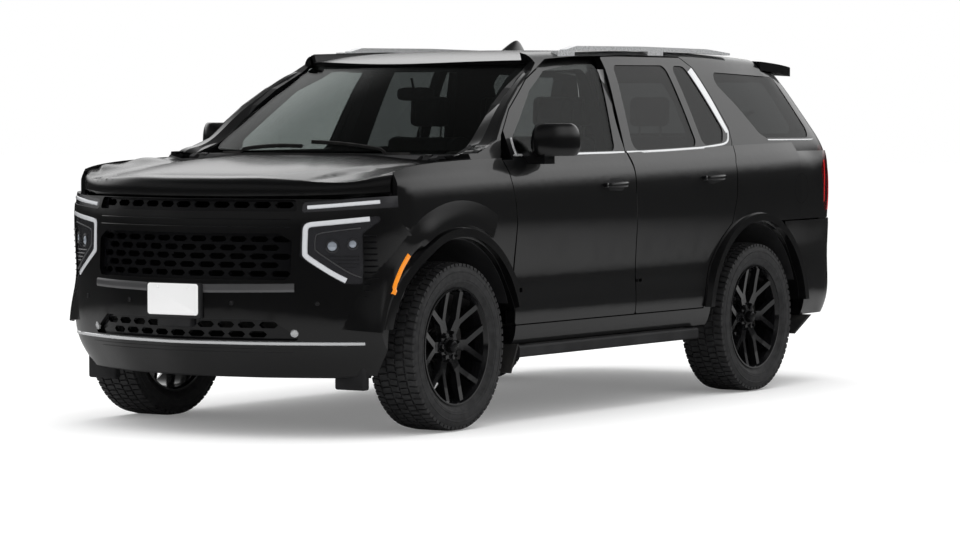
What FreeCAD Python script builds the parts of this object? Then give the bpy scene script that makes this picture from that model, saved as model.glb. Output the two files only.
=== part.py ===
import FreeCAD, Part
import math
import os
from FreeCAD import Vector

document = FreeCAD.newDocument("suv")

# Driving dimensions in millimetres.
DIMENSIONS = {
    "overall_length": 5352,
    "overall_height": 1928,
    "body_width": 2057,
    "wheelbase": 3071,
    "front_overhang": 1000,
    "track_width": 1740,
    "tyre_radius": 417,
    "tyre_width": 275,
    "rim_radius": 291,
    "rim_lip": 9,
    "spindle_radius": 22,
    "spindle_play": 0.05,
    "pin_play": 0.6,
    "arch_radius": 535,
    "flare_width": 78,
    "flare_depth": 30,
    "shut_gap": 6.5,
    "seat_gap": 0.3,
    "door_depth": 95,
    "frame_depth": 46,
    "pillar_depth": 62,
    "pillar_gap": 14,
    "fender_depth": 55,
    "fascia_depth": 45,
    "tail_depth": 70,
    "hood_depth": 34,
    "roof_depth": 38,
    "spoiler_depth": 52,
    "glass_thickness": 6,
    "glass_inset": 5,
    "hinge_pin_radius": 7,
    "hinge_strap": 40,
    "door_hinge_inset": 42,
    "door_hinge_setback": 60,
    "rail_width": 42,
    "rail_height": 26,
    "step_width": 165,
    "step_height": 62,
    "frame_rail_width": 75,
    "frame_rail_height": 130,
    "frame_rail_spacing": 900,
    "frame_rise": 60,
    "frame_front": 230,
    "frame_rear": 190,
    "member_height": 80,
    "engine_length": 720,
    "engine_width": 640,
    "engine_height": 620,
    "engine_ahead": 400,
    "floor_thickness": 26,
    "firewall_place": 450,
    "axle_tube_radius": 42,
    "differential_radius": 150,
    "gearbox_radius": 100,
    "gearbox_length": 900,
    "shaft_radius": 38,
    "exhaust_radius": 32,
    "muffler_radius": 95,
    "muffler_length": 620,
    "tank_length": 900,
    "tank_width": 320,
    "tank_height": 230,
    "arm_radius": 20,
    "arm_eye_radius": 26,
    "kingpin_inset": 115,
    "post_width": 46,
    "post_low": 150,
    "post_high": 210,
    "upper_eye": 24,
    "arm_pad": 60,
    "disc_radius": 185,
    "disc_thickness": 30,
    "disc_inset": 5,
    "hub_radius": 78,
    "mount_offset": 30,
    "caliper_radius": 208,
    "caliper_depth": 62,
    "spindle_reach": 70,
    "rim_width": 240,
    "barrel_radius": 272,
    "barrel_wall": 9,
    "face_recess": 42,
    "spoke_depth": 34,
    "spoke_width": 28,
    "spoke_spread": 61,
    "stem_width": 52,
    "lug_circle": 62,
    "seat_width": 560,
    "seat_spacing": 800,
    "cushion_height": 150,
    "cushion_length": 520,
    "cushion_rise": 190,
    "back_height": 620,
    "back_depth": 150,
    "back_lean": 130,
    "headrest_width": 270,
    "headrest_height": 190,
    "headrest_depth": 100,
    "headrest_gap": 30,
    "headrest_post": 8,
    "bench_width": 1300,
    "wheel_rim_radius": 185,
    "wheel_grip_radius": 16,
    "steering_place": 400,
    "mirror_reach": 190,
    "mirror_length": 240,
    "mirror_height": 165,
    "mirror_round": 45,
    "liner_thickness": 6,
    "liner_inner": 600,
    "overrun": 40,
    "hitch_tube": 76,
    "hitch_bore": 51,
    "hood_hinge_spread": 1400,
    "hood_arm_width": 40,
    "hood_eye_radius": 15,
    "gate_hinge_spread": 440,
    "gate_lug_width": 40,
    "gate_eye_radius": 9,
    "gate_pin_radius": 3.5,
    "gate_lip": 8,
    "join_step": 1.5,
    "gate_gap": 8,
    "hinge_room": 8,
}

sheet = document.addObject("Spreadsheet::Sheet", "dimensions")
for row, (alias, value) in enumerate(DIMENSIONS.items(), 1):
    sheet.set("A%d" % row, alias)
    sheet.set("B%d" % row, str(value))
    sheet.setAlias("B%d" % row, alias)
document.recompute()


class Sizes:
    """Reads a driving dimension from the sheet by its alias."""

    def __getattr__(self, alias):
        return float(sheet.get(alias))


size = Sizes()
half_width = size.body_width / 2
nose_y = -size.overall_length / 2
tail_y = size.overall_length / 2
front_axle_y = nose_y + size.front_overhang
rear_axle_y = front_axle_y + size.wheelbase
wheel_x = size.track_width / 2
made = []


def along(share):
    """A place along the car, from its nose."""
    return nose_y + share * size.overall_length


def above(share):
    """A height above the road."""
    return share * size.overall_height


def across(share):
    """A distance from the middle plane."""
    return share * half_width


def between(value, places, results):
    """Straight-line reading of a table."""
    if value <= places[0]:
        return results[0]
    for low, high, start, stop in zip(places, places[1:], results, results[1:]):
        if value <= high:
            return start + (stop - start) * (value - low) / (high - low)
    return results[-1]


def keep(name, shape):
    """Stores one finished sub-part under the name of its file."""
    feature = document.addObject("Part::Feature", name)
    feature.Shape = shape
    feature.Label = name
    made.append(feature)
    return feature


def mirrored(shape):
    """The same shape on the car's right side."""
    return shape.mirror(Vector(0, 0, 0), Vector(1, 0, 0))


def both_sides(shape):
    """A left and a right solid in one compound."""
    return Part.makeCompound(solids_of(shape) + solids_of(mirrored(shape)))


def solids_of(shape):
    """The solids of a shape, as a list."""
    return list(shape.Solids)


def rounded_face(corners, radius):
    """A flat face on a closed outline whose corners are rounded where there is room."""
    count = len(corners)
    edges = []
    ends = []
    for index, corner in enumerate(corners):
        before = corners[index - 1] - corner
        after = corners[(index + 1) % count] - corner
        half_angle = before.getAngle(after) / 2
        room = min(before.Length, after.Length) * corner_room_share
        cut = min(radius / math.tan(half_angle), room)
        if cut < size.seat_gap:
            ends.append((corner, corner))
            continue
        before.normalize()
        after.normalize()
        start = corner + before * cut
        stop = corner + after * cut
        inward = (before + after).normalize()
        middle = corner + inward * cut * (1 / math.cos(half_angle) - math.tan(half_angle))
        edges.append(Part.Arc(start, middle, stop).toShape())
        ends.append((start, stop))
    for index in range(count):
        edges.append(Part.makeLine(ends[index][1], ends[(index + 1) % count][0]))
    return Part.Face(Part.Wire(Part.__sortEdges__(edges)))


def side_prism(outline, radius, start, stop):
    """A prism across the car on an outline of places along it and heights."""
    corners = [Vector(start, y, z) for y, z in outline]
    return rounded_face(corners, radius).extrude(Vector(stop - start, 0, 0))


def front_prism(outline, radius, start, stop):
    """A prism along the car on an outline of places across it and heights."""
    corners = [Vector(x, start, z) for x, z in outline]
    return rounded_face(corners, radius).extrude(Vector(0, stop - start, 0))


def plan_prism(outline, radius, low, high):
    """An upright prism on an outline of places across and along the car."""
    corners = [Vector(x, y, low) for x, y in outline]
    return rounded_face(corners, radius).extrude(Vector(0, 0, high - low))


def side_places(shares):
    """An outline seen from the side, from its shares of length and height."""
    return [(along(y), above(z)) for y, z in shares]


def front_places(shares):
    """An outline seen from the front, from its shares of width and height."""
    return [(across(x), above(z)) for x, z in shares]


def block(x_range, y_range, z_range):
    """A box between two corners."""
    corner = Vector(x_range[0], y_range[0], z_range[0])
    return Part.makeBox(x_range[1] - x_range[0], y_range[1] - y_range[0], z_range[1] - z_range[0], corner)


def smooth_face(rows):
    """A smooth face through rows of points."""
    surface = Part.BSplineSurface()
    surface.interpolate(rows)
    return surface.toShape()


corner_room_share = 0.48

# Side of the body: half widths at heights, as seen in a cut across the doors.
lower_height_shares = [0.1556, 0.2075, 0.2438, 0.2905, 0.3320, 0.3683, 0.4149, 0.4668,
                       0.5187, 0.5602, 0.6017, 0.6328, 0.6546, 0.6717, 0.6898, 0.7158, 0.7417]
lower_width_shares = [0.8799, 0.9383, 0.9645, 0.9723, 0.9684, 0.9626, 0.9665, 0.9762,
                      0.9849, 0.9878, 0.9859, 0.9791, 0.9665, 0.9490, 0.9256, 0.8926, 0.8595]
rise_shares = [0, 0, 0, 0, 0, 0, 0, 0.2, 0.5, 0.8, 1, 1, 1, 1, 1, 1, 1]
shoulder_rise_share = 0.0337
rise_start_share = 0.2834
rise_end_share = 0.9062

# How the side narrows towards the nose and the tail.
side_place_shares = [0.0710, 0.0934, 0.1214, 0.1588, 0.2055, 0.2803, 0.3924, 0.5045, 0.6166,
                     0.7100, 0.7661, 0.8221, 0.8595, 0.9062, 0.9398, 0.9604]
side_taper_shares = [0.938, 0.972, 0.988, 0.996, 1, 1, 1, 1, 1, 1, 0.999, 0.995, 0.986, 0.965, 0.935, 0.895]

# Glasshouse above the belt: half widths from the belt up to the roof's edge.
upper_step_shares = [-0.1, 0, 0.15, 0.35, 0.55, 0.75, 0.9, 0.97, 1, 1.02]
upper_width_shares = [0.9285, 0.9130, 0.8858, 0.8478, 0.8070, 0.7613, 0.7195, 0.6932,
                      0.6689, 0.6368]
belt_place_shares = [0.0710, 0.2149, 0.2971, 0.4092, 0.5101, 0.6502, 0.7474, 0.9623]
belt_height_shares = [0.6836, 0.6929, 0.6950, 0.6971, 0.7028, 0.7116, 0.7184, 0.7287]
edge_place_shares = [0.1868, 0.3737, 0.4204, 0.4671, 0.5605, 0.6540, 0.7474, 0.8408, 0.9623]
edge_height_shares = [0.9699, 0.9689, 0.9710, 0.9761, 0.9818, 0.9829, 0.9793, 0.9689, 0.9518]
upper_taper_places = [0.1868, 0.3737, 0.5605, 0.7474, 0.8221, 0.8595, 0.8969, 0.9249, 0.9454,
                      0.9604]
upper_taper_shares = [1, 1, 1, 1, 1, 0.995, 0.985, 0.97, 0.93, 0.85]
tail_lean_share = 0.68
tail_lean_start_share = 0.7365


def shoulder_rise(y):
    """How far the shoulder line has risen at a place along the car."""
    run = (y - along(rise_start_share)) / (along(rise_end_share) - along(rise_start_share))
    return run * above(shoulder_rise_share)


def lower_point(y, row):
    """A point of the side below the belt."""
    taper = between(y, [along(share) for share in side_place_shares], side_taper_shares)
    height = above(lower_height_shares[row]) + rise_shares[row] * shoulder_rise(y)
    return Vector(across(lower_width_shares[row]) * taper, y, height)


def lower_width(y, height):
    """The half width of the side below the belt, at a place and a height."""
    points = [lower_point(y, row) for row in range(len(lower_height_shares))]
    return between(height, [point.z for point in points], [point.x for point in points])


def belt_height(y):
    """The height of the belt line."""
    return between(y, [along(share) for share in belt_place_shares], [above(share) for share in belt_height_shares])


def edge_height(y):
    """The height of the roof's edge."""
    return between(y, [along(share) for share in edge_place_shares], [above(share) for share in edge_height_shares])


def upper_point(y, step, width):
    """A point of the glasshouse's side, on a step from the belt to the roof's edge."""
    height = belt_height(y) + step * (edge_height(y) - belt_height(y))
    lean = max(0, height - above(tail_lean_start_share)) * tail_lean_share
    taper = between(y + lean, [along(share) for share in upper_taper_places], upper_taper_shares)
    return Vector(across(width) * taper, y, height)


def upper_width(y, height):
    """The half width of the glasshouse at a place and a height."""
    points = [upper_point(y, step, width) for step, width in zip(upper_step_shares, upper_width_shares)]
    return between(height, [point.z for point in points], [point.x for point in points])


def side_width(y, height):
    """The half width of the whole side at a place and a height."""
    return lower_width(y, height) if height < belt_height(y) else upper_width(y, height)


side_stations = [along(share) for share in side_place_shares]
upper_station_shares = [0.1868, 0.2803, 0.3737, 0.4671, 0.5605, 0.6540, 0.7474, 0.8034, 0.8501,
                        0.8875, 0.9118, 0.9305]
upper_stations = [along(share) for share in upper_station_shares]
belt_line = [(along(share), above(height)) for share, height in zip(belt_place_shares, belt_height_shares)]
sky = size.overall_height + size.overrun
below_belt = side_prism([(nose_y, 0)] + [(nose_y, belt_line[0][1])] + belt_line
                        + [(tail_y, belt_line[-1][1]), (tail_y, 0)], 0, 0, half_width + size.overrun)
above_belt = side_prism([(nose_y, sky)] + [(nose_y, belt_line[0][1])] + belt_line
                        + [(tail_y, belt_line[-1][1]), (tail_y, sky)], 0, 0, half_width + size.overrun)


def side_wall(inset, lower_depth, upper_depth):
    """The body's side as a wall, set in from the outer skin."""
    lower_rows = [[lower_point(y, row) - Vector(inset, 0, 0) for y in side_stations]
                  for row in range(len(lower_height_shares))]
    upper_rows = [[upper_point(y, step, width) - Vector(inset, 0, 0) for y in upper_stations]
                  for step, width in zip(upper_step_shares, upper_width_shares)]
    lower = smooth_face(lower_rows).extrude(Vector(-lower_depth, 0, 0)).common(below_belt)
    upper = smooth_face(upper_rows).extrude(Vector(-upper_depth, 0, 0)).common(above_belt)
    return lower.fuse(upper)


# Nose and tail in plan: shares of the half width, and setbacks from the tip as shares of the length.
nose_plan_shares = [(0, 0), (0.2, 0.0056), (0.4, 0.0140), (0.65, 0.0346), (0.85, 0.0579), (0.94, 0.0766)]
nose_side_shares = [0.0934, 0.1214, 0.1588]
nose_level_shares = [0.1556, 0.1919, 0.2396, 0.3060, 0.3631, 0.4409, 0.5135, 0.5654,
                     0.6017, 0.6224]
nose_tuck_shares = [0.0187, 0.0112, 0.0041, 0.0006, 0.0006, 0.0037, 0.0065, 0.0093, 0.0140, 0.0159]
tail_plan_shares = [(0, 0), (0.35, 0.0028), (0.65, 0.0103), (0.82, 0.0215), (0.895, 0.0383)]
tail_side_shares = [0.9398, 0.9062, 0.8595, 0.8221]
tail_level_shares = [0.4149, 0.4668, 0.5187, 0.5602, 0.6017, 0.6328, 0.6587, 0.6795,
                     0.7002]
tail_tuck_shares = [0.0066, 0.0060, 0.0060, 0.0065, 0.0079, 0.0097, 0.0118, 0.0138, 0.0162]
bumper_level_shares = [0.2075, 0.2438, 0.3112, 0.4046, 0.4564, 0.4979]
bumper_tuck_shares = [0.0112, 0.0041, 0.0006, 0.0002, 0.0012, 0.0034]
gate_plan_shares = [(0, 0), (0.35, 0.0019), (0.65, 0.0075), (0.85, 0.0168), (0.93, 0.0318)]
gate_side_shares = [0.9249, 0.8969, 0.8595, 0.8221]
gate_level_shares = [0.6743, 0.7365, 0.7988, 0.8610, 0.9232, 0.9544]
gate_end_shares = [0.9875, 0.9772, 0.9619, 0.9467, 0.9314, 0.9240]


def offset_inward(points, depth):
    """Points moved square to the line that they lie on, towards the inside of a nose or tail."""
    moved = []
    for index, point in enumerate(points):
        before = points[max(index - 1, 0)]
        after = points[min(index + 1, len(points) - 1)]
        direction = (after - before).normalize()
        moved.append(point + Vector(-direction.y, direction.x, 0) * depth)
    return moved


def plan_section(half, inset, depth, turn):
    """A closed plan section of a nose or tail skin, from half a plan line given tip first."""
    line = [Vector(-point.x, point.y, point.z) for point in reversed(half[1:])] + half
    outer = offset_inward(line, inset * turn)
    inner = offset_inward(line, (inset + depth) * turn)
    outer_curve = Part.BSplineCurve()
    outer_curve.interpolate(outer)
    inner_curve = Part.BSplineCurve()
    inner_curve.interpolate(inner)
    return Part.Wire([outer_curve.toShape(), Part.makeLine(outer[-1], inner[-1]), inner_curve.toShape(),
                      Part.makeLine(inner[0], outer[0])])


def nose_half(level, tuck):
    """Half the nose's plan line at a height, from its tip to the fender."""
    height = above(level)
    width = lower_width(along(nose_side_shares[-1]), height)
    points = []
    for share, setback in nose_plan_shares:
        y = along(setback + tuck * (1 - setback / (nose_side_shares[0] + tuck)))
        points.append(Vector(width * share, y, height))
    for share in nose_side_shares:
        points.append(Vector(lower_width(along(share), height), along(share), height))
    return points


def nose_shell(inset, depth):
    """The nose's skin as a solid of even thickness."""
    wires = [plan_section(nose_half(level, tuck), inset, depth, 1)
             for level, tuck in zip(nose_level_shares, nose_tuck_shares)]
    return Part.makeLoft(wires, True)


def tail_half(level, tuck):
    """Half the lower tail's plan line at a height, from its tip to the side."""
    height = above(level)
    width = lower_width(along(tail_side_shares[-1]), height)
    points = [Vector(width * share, along(1 - setback - tuck), height) for share, setback in tail_plan_shares]
    for share in tail_side_shares:
        points.append(Vector(side_width(along(share), height), along(share), height))
    return points


def gate_half(level, end):
    """Half the upper tail's plan line at a height, from its tip to the side."""
    height = above(level)
    lean = gate_end_shares[1] - end
    lean = max(0, lean) * size.overall_length
    width = upper_width(along(gate_side_shares[-1]), height)
    points = [Vector(width * share, along(end - setback), height) for share, setback in gate_plan_shares]
    for share in gate_side_shares:
        y = along(share) - lean
        points.append(Vector(upper_width(y, height), y, height))
    return points


def tail_shell(inset, depth):
    """The lower tail's skin, from behind the bumper to below the rear window."""
    wires = [plan_section(tail_half(level, tuck), inset, depth, -1)
             for level, tuck in zip(tail_level_shares, tail_tuck_shares)]
    return Part.makeLoft(wires, True)


def bumper_shell(depth):
    """The rear bumper's skin, which stands a little behind the tail."""
    wires = [plan_section(tail_half(level, tuck), 0, depth, -1)
             for level, tuck in zip(bumper_level_shares, bumper_tuck_shares)]
    return Part.makeLoft(wires, True)


def gate_shell(inset, depth):
    """The upper tail's skin, beside and around the rear window."""
    wires = [plan_section(gate_half(level, end), inset, depth, -1)
             for level, end in zip(gate_level_shares, gate_end_shares)]
    return Part.makeLoft(wires, True)


def swing_solid(axis_x, axis_y, edge, margin):
    """What a door's upright edge sweeps round its hinge axis, grown by a margin."""
    profile = [Vector(axis_x, axis_y, edge[0][2])]
    for x, y, z in edge:
        reach = math.hypot(x - axis_x, y - axis_y) + margin
        profile.append(Vector(axis_x + reach, axis_y, z))
    profile.append(Vector(axis_x, axis_y, edge[-1][2]))
    face = Part.Face(Part.makePolygon(profile + [profile[0]]))
    return face.revolve(Vector(axis_x, axis_y, 0), Vector(0, 0, 1), full_turn)


full_turn = 360

# Shut lines, as shares of length and height.
front_lead_shares = [(0.2840, 0.2593), (0.2846, 0.5187), (0.2821, 0.5705), (0.2762, 0.6380), (0.2762, 0.6898)]
front_pillar_shares = [(0.2889, 0.7516), (0.3169, 0.8205), (0.3670, 0.9009), (0.4198, 0.9554)]
front_top_shares = [(0.4671, 0.9632), (0.5237, 0.9668)]
middle_line_shares = [(0.5222, 0.9321), (0.5138, 0.8351), (0.5065, 0.7106), (0.5039, 0.5965), (0.5077, 0.4964), (0.5101, 0.3838),
                      (0.5086, 0.3143), (0.5073, 0.2593)]
rear_top_shares = [(0.5241, 0.9668), (0.5792, 0.9710), (0.6839, 0.9694)]
rear_edge_shares = [(0.7016, 0.9388), (0.7296, 0.7676), (0.7268, 0.7261), (0.7128, 0.6691), (0.7111, 0.5705)]

# Side windows, as shares of length and height.
front_window_shares = [(0.3064, 0.7064), (0.3064, 0.7469), (0.3313, 0.7988), (0.3657, 0.8724), (0.4056, 0.9258), (0.4682, 0.9450),
                       (0.5110, 0.9481), (0.4970, 0.8091), (0.4877, 0.7080)]
rear_window_shares = [(0.5232, 0.7080), (0.5297, 0.8091), (0.5405, 0.9450), (0.6441, 0.9471), (0.6540, 0.7158)]
pane_shares = [(0.6661, 0.7178), (0.6568, 0.9471), (0.6839, 0.9450), (0.7171, 0.7624), (0.7081, 0.7261)]
quarter_window_shares = [(0.7209, 0.9310), (0.7633, 0.8330), (0.7928, 0.7510), (0.8053, 0.7376), (0.9137, 0.7365), (0.8810, 0.9180)]

# The wall of each side, and the skins that panels and glass are cut from.
outer_wall = side_wall(0, size.door_depth, size.frame_depth)
body_wall = side_wall(0, size.door_depth + size.pillar_gap + size.pillar_depth, size.frame_depth + size.pillar_gap
                      + size.pillar_depth)
pocket_wall = side_wall(-size.seat_gap, size.door_depth + size.pillar_gap, size.frame_depth + size.pillar_gap)
glass_wall = side_wall(size.glass_inset, size.glass_thickness, size.glass_thickness)
wide = half_width + size.overrun
axle_height = size.tyre_radius


def arch_cut(axle_y, radius, inner_x, outer_x):
    """A cylinder across the car about an axle."""
    return Part.makeCylinder(radius, outer_x - inner_x, Vector(inner_x, axle_y, axle_height), Vector(1, 0, 0))


def grown(outline, gap):
    """An outline moved out by a gap."""
    wire = Part.makePolygon([Vector(0, y, z) for y, z in outline] + [Vector(0, *outline[0])])
    bigger = wire.makeOffset2D(gap, 2)
    return [(vertex.Y, vertex.Z) for vertex in bigger.OrderedVertexes]


arch_reach = size.arch_radius + size.flare_width
sill_share = 0.2593
door_round = size.door_depth / 2
front_lead = side_places(front_lead_shares)
front_outline = (front_lead + side_places(front_pillar_shares) + side_places(front_top_shares)
                 + side_places(middle_line_shares))
gap = size.shut_gap
middle_line = [(y + gap, z) for y, z in side_places(middle_line_shares)]
arch_top_z = side_places(rear_edge_shares)[-1][1]


def arch_edge(axle_y, reach, low, high, steps):
    """Points up the front of a wheel arch."""
    points = []
    for step in range(steps + 1):
        z = low + (high - low) * step / steps
        points.append((axle_y - math.sqrt(reach ** 2 - (z - axle_height) ** 2), z))
    return points


arch_steps = 6
rear_arch_line = arch_edge(rear_axle_y, arch_reach + gap, above(sill_share), above(0.4953), arch_steps)
rear_outline = (list(reversed(middle_line)) + side_places(rear_top_shares) + side_places(rear_edge_shares)
                + list(reversed(rear_arch_line)))


def hinge_axis(edge):
    """The upright axis of a door, from the middle of its leading edge below the belt."""
    height = above(0.5446)
    y = between(height, [point[1] for point in edge], [point[0] for point in edge]) + size.door_hinge_setback
    return lower_width(y, height) - size.door_hinge_inset, y


front_hinge = hinge_axis(front_lead)
rear_lead = [point for point in reversed(middle_line)]
rear_hinge = hinge_axis(rear_lead)


def edge_on_skin(line):
    """A shut line's places on the body's outer skin, from the bottom up."""
    points = sorted(line, key=lambda place: place[1])
    return [(side_width(y, z), y, z) for y, z in points]


def reach_solid(hinge, lead, trail, margin):
    """All that a door may fill so that it turns clear: its nose and its trailing side round the axis."""
    low = above(sill_share) - size.overrun
    far = size.overall_length / 2
    nose = swing_solid(hinge[0], hinge[1], edge_on_skin(lead), margin)
    rear = swing_solid(hinge[0], hinge[1], edge_on_skin(trail), margin)
    behind = block((-wide, wide + size.overrun), (hinge[1], hinge[1] + far), (low, sky))
    return nose.fuse(rear.common(behind))


hinge_height_shares = [0.3423, 0.5861]


def hinge_notches(hinge):
    """The spaces in a door's nose for the two straps, and the bores for their pins."""
    x, y = hinge
    half = size.hinge_strap / 2 + size.seat_gap * 8
    cuts = []
    for share in hinge_height_shares:
        z = above(share)
        room = size.hinge_pin_radius * 3
        cuts.append(block((x - size.door_depth * 2, x + room), (y - size.door_depth * 2, y + room),
                          (z - half, z + half)))
        bore = size.hinge_pin_radius + size.spindle_play
        cuts.append(Part.makeCylinder(bore, size.hinge_strap * 2 + size.seat_gap, Vector(x, y, z - size.hinge_strap
                                      - size.seat_gap / 2)))
    return cuts


def hinge_straps(hinge, post_x):
    """The straps on the body that carry a door's pins."""
    x, y = hinge
    straps = []
    for share in hinge_height_shares:
        z = above(share)
        half = size.hinge_strap / 2
        eye = size.hinge_pin_radius * 2
        pin = Part.makeCylinder(size.hinge_pin_radius, size.hinge_strap * 2, Vector(x, y, z - size.hinge_strap))
        knuckle = Part.makeCylinder(eye, size.hinge_strap, Vector(x, y, z - half))
        strap = block((post_x, x), (y - eye, y), (z - half, z + half))
        straps.append(pin.fuse([knuckle, strap]))
    return straps


def door(outline, windows, hinge, lead, trail):
    """A whole door: a thick lower part and a slimmer frame round its windows."""
    panel = outer_wall.common(side_prism(outline, door_round / 3, 0, wide))
    panel = panel.common(reach_solid(hinge, lead, trail, size.spindle_play))
    cuts = hinge_notches(hinge)
    for window in windows:
        cuts.append(side_prism(side_places(window), door_round, 0, wide))
    return panel.cut(cuts)


def pane(window, round_corner):
    """The glass that fills a side window."""
    places = side_places(window)
    smaller = side_prism(places, round_corner, 0, wide)
    return glass_wall.common(smaller)


front_trail = side_places(middle_line_shares)
rear_trail = [place for place in rear_outline if place[0] > rear_hinge[1] + size.door_depth * 4]
front_lead_sweep = swing_solid(*front_hinge, edge_on_skin(front_lead), gap)
rear_lead_sweep = swing_solid(*rear_hinge, edge_on_skin(rear_lead), gap)
front_door = door(front_outline, [front_window_shares], front_hinge, front_lead, front_trail).cut(rear_lead_sweep)
rear_door = door(rear_outline, [rear_window_shares, pane_shares], rear_hinge, rear_lead, rear_trail)

# Windshield: a curved sheet between the cowl and the roof.
shield_row_shares = [0, 0.25, 0.5, 0.75, 1]
shield_column_shares = [-1, -0.8, -0.5, 0, 0.5, 0.8, 1]
shield_low_share = (0.7632, 0.2111, 0.7116)
shield_high_share = (0.6709, 0.3531, 0.9398)
shield_sweep_share = 0.048
shield_bow_share = 0.010
shield_drop_share = 0.004


def shield_point(row, column, reach):
    """A point of the windshield, grown by a reach at its edges."""
    row += (row - 1 / 2) * reach / size.tyre_width
    width = across(shield_low_share[0] + (shield_high_share[0] - shield_low_share[0]) * row) + reach
    y = along(shield_low_share[1] + (shield_high_share[1] - shield_low_share[1]) * row
              - shield_bow_share * math.sin(math.pi * row) + shield_sweep_share * column ** 2)
    z = above(shield_low_share[2] + (shield_high_share[2] - shield_low_share[2]) * row
              + shield_drop_share * column ** 2)
    return Vector(width * column, y, z)


def shield_face(reach):
    """The windshield's outer face."""
    return smooth_face([[shield_point(row, column, reach) for column in shield_column_shares]
                        for row in shield_row_shares])


shield_lean = Vector(0, 1, -2).normalize()
windshield = shield_face(-size.seat_gap).extrude(shield_lean * size.glass_thickness)
shield_room = shield_face(size.seat_gap)
shield_room.translate(shield_lean * -size.engine_width / 2)
shield_space = shield_room.extrude(shield_lean * (size.engine_width / 2 + size.glass_thickness + size.seat_gap))

# Roof: a crowned panel between the two sides.
roof_place_shares = [0.3475, 0.3737, 0.4111, 0.4671, 0.5605, 0.6540, 0.7474, 0.8221, 0.8632]
roof_height_shares = [0.9419, 0.9554, 0.9689, 0.9824, 0.9896, 0.9901, 0.9865, 0.9787, 0.9725]
roof_column_shares = [-1, -0.8, -0.5, 0, 0.5, 0.8, 1]
roof_half_share = 0.6368
roof_crown_share = 0.0088
roof_end_share = 0.8574


def roof_face(reach):
    """The roof's outer face."""
    rows = []
    for place, height in zip(roof_place_shares, roof_height_shares):
        rows.append([Vector((across(roof_half_share) + reach) * column, along(place),
                            above(height - roof_crown_share * abs(column) ** 2.5)) for column in roof_column_shares])
    return smooth_face(rows)


roof_room = block((-wide, wide), (nose_y, along(roof_end_share)), (0, sky * 2))
roof = roof_face(0).extrude(Vector(0, 0, -size.roof_depth)).common(roof_room).cut(shield_space)

# Hood: a crowned panel with a rolled nose, two valleys and raised sides.
hood_column_shares = [0, 0.2, 0.4, 0.6, 0.75, 0.87, 1]
hood_front_shares = [0.0178, 0.0202, 0.0265, 0.0396, 0.0542, 0.0691, 0.0916]
hood_rear_shares = [0.1981, 0.1986, 0.2009, 0.2046, 0.2093, 0.2149, 0.2233]
hood_lip_shares = [0.6048, 0.6048, 0.6058, 0.6074, 0.6094, 0.6120, 0.6162]
hood_drop_shares = [0, 0.0005, 0.0026, 0.0114, 0.0187, 0.0197, 0.0135]
hood_roll_shares = [(0, 0), (0, 0.0218), (0.0022, 0.0363), (0.0084, 0.0456)]
hood_run_shares = [0.12, 0.3, 0.5, 0.75, 1]
hood_end_share = 0.2242
hood_end_height_share = 0.7127
hood_fall_share = 0.2082
hood_bend_share = 0.4561
hood_half_share = 0.9120


def hood_height(y, drop):
    """The height of the hood's top at a place along it."""
    run = (along(hood_end_share) - y) / size.overall_length
    return above(hood_end_height_share - hood_fall_share * run - hood_bend_share * run ** 2 - drop)


def hood_point(column, row):
    """A point of the hood, from its lip over its rolled nose and back to the cowl."""
    x = across(hood_half_share) * hood_column_shares[column]
    front = hood_front_shares[column]
    lip = hood_lip_shares[column]
    if row < len(hood_roll_shares):
        back, rise = hood_roll_shares[row]
        fade = min(1, (hood_height(along(front), hood_drop_shares[column]) - above(lip)) / above(hood_roll_shares[-1][1]))
        return Vector(x, along(front + back), above(lip) + above(rise) * min(fade, 1.2))
    run = hood_run_shares[row - len(hood_roll_shares)]
    y = along(front + hood_roll_shares[-1][0] + run * (hood_rear_shares[column] - front - hood_roll_shares[-1][0]))
    return Vector(x, y, hood_height(y, hood_drop_shares[column]))


def curve_through(points):
    """A smooth curve through points, as a wire."""
    curve = Part.BSplineCurve()
    curve.interpolate(points)
    return Part.Wire([curve.toShape()])


def hood_face():
    """The hood's outer face."""
    wires = []
    for row in range(len(hood_roll_shares) + len(hood_run_shares)):
        half = [hood_point(column, row) for column in range(len(hood_column_shares))]
        wires.append(curve_through([Vector(-point.x, point.y, point.z) for point in reversed(half[1:])] + half))
    return Part.makeLoft(wires, False).Faces[0]


def hood_plan(reach, lead=0):
    """The hood's outline from above, grown by a reach, and by a lead in front."""
    half = [(across(hood_half_share) * share + reach * share, along(front) - reach - lead)
            for share, front in zip(hood_column_shares, hood_front_shares)]
    rear = [(across(hood_half_share) * share + reach * share, along(back) + reach)
            for share, back in zip(hood_column_shares, hood_rear_shares)]
    ring = half + list(reversed(rear))
    return ring + [(-x, y) for x, y in reversed(ring) if x > 0]


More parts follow.
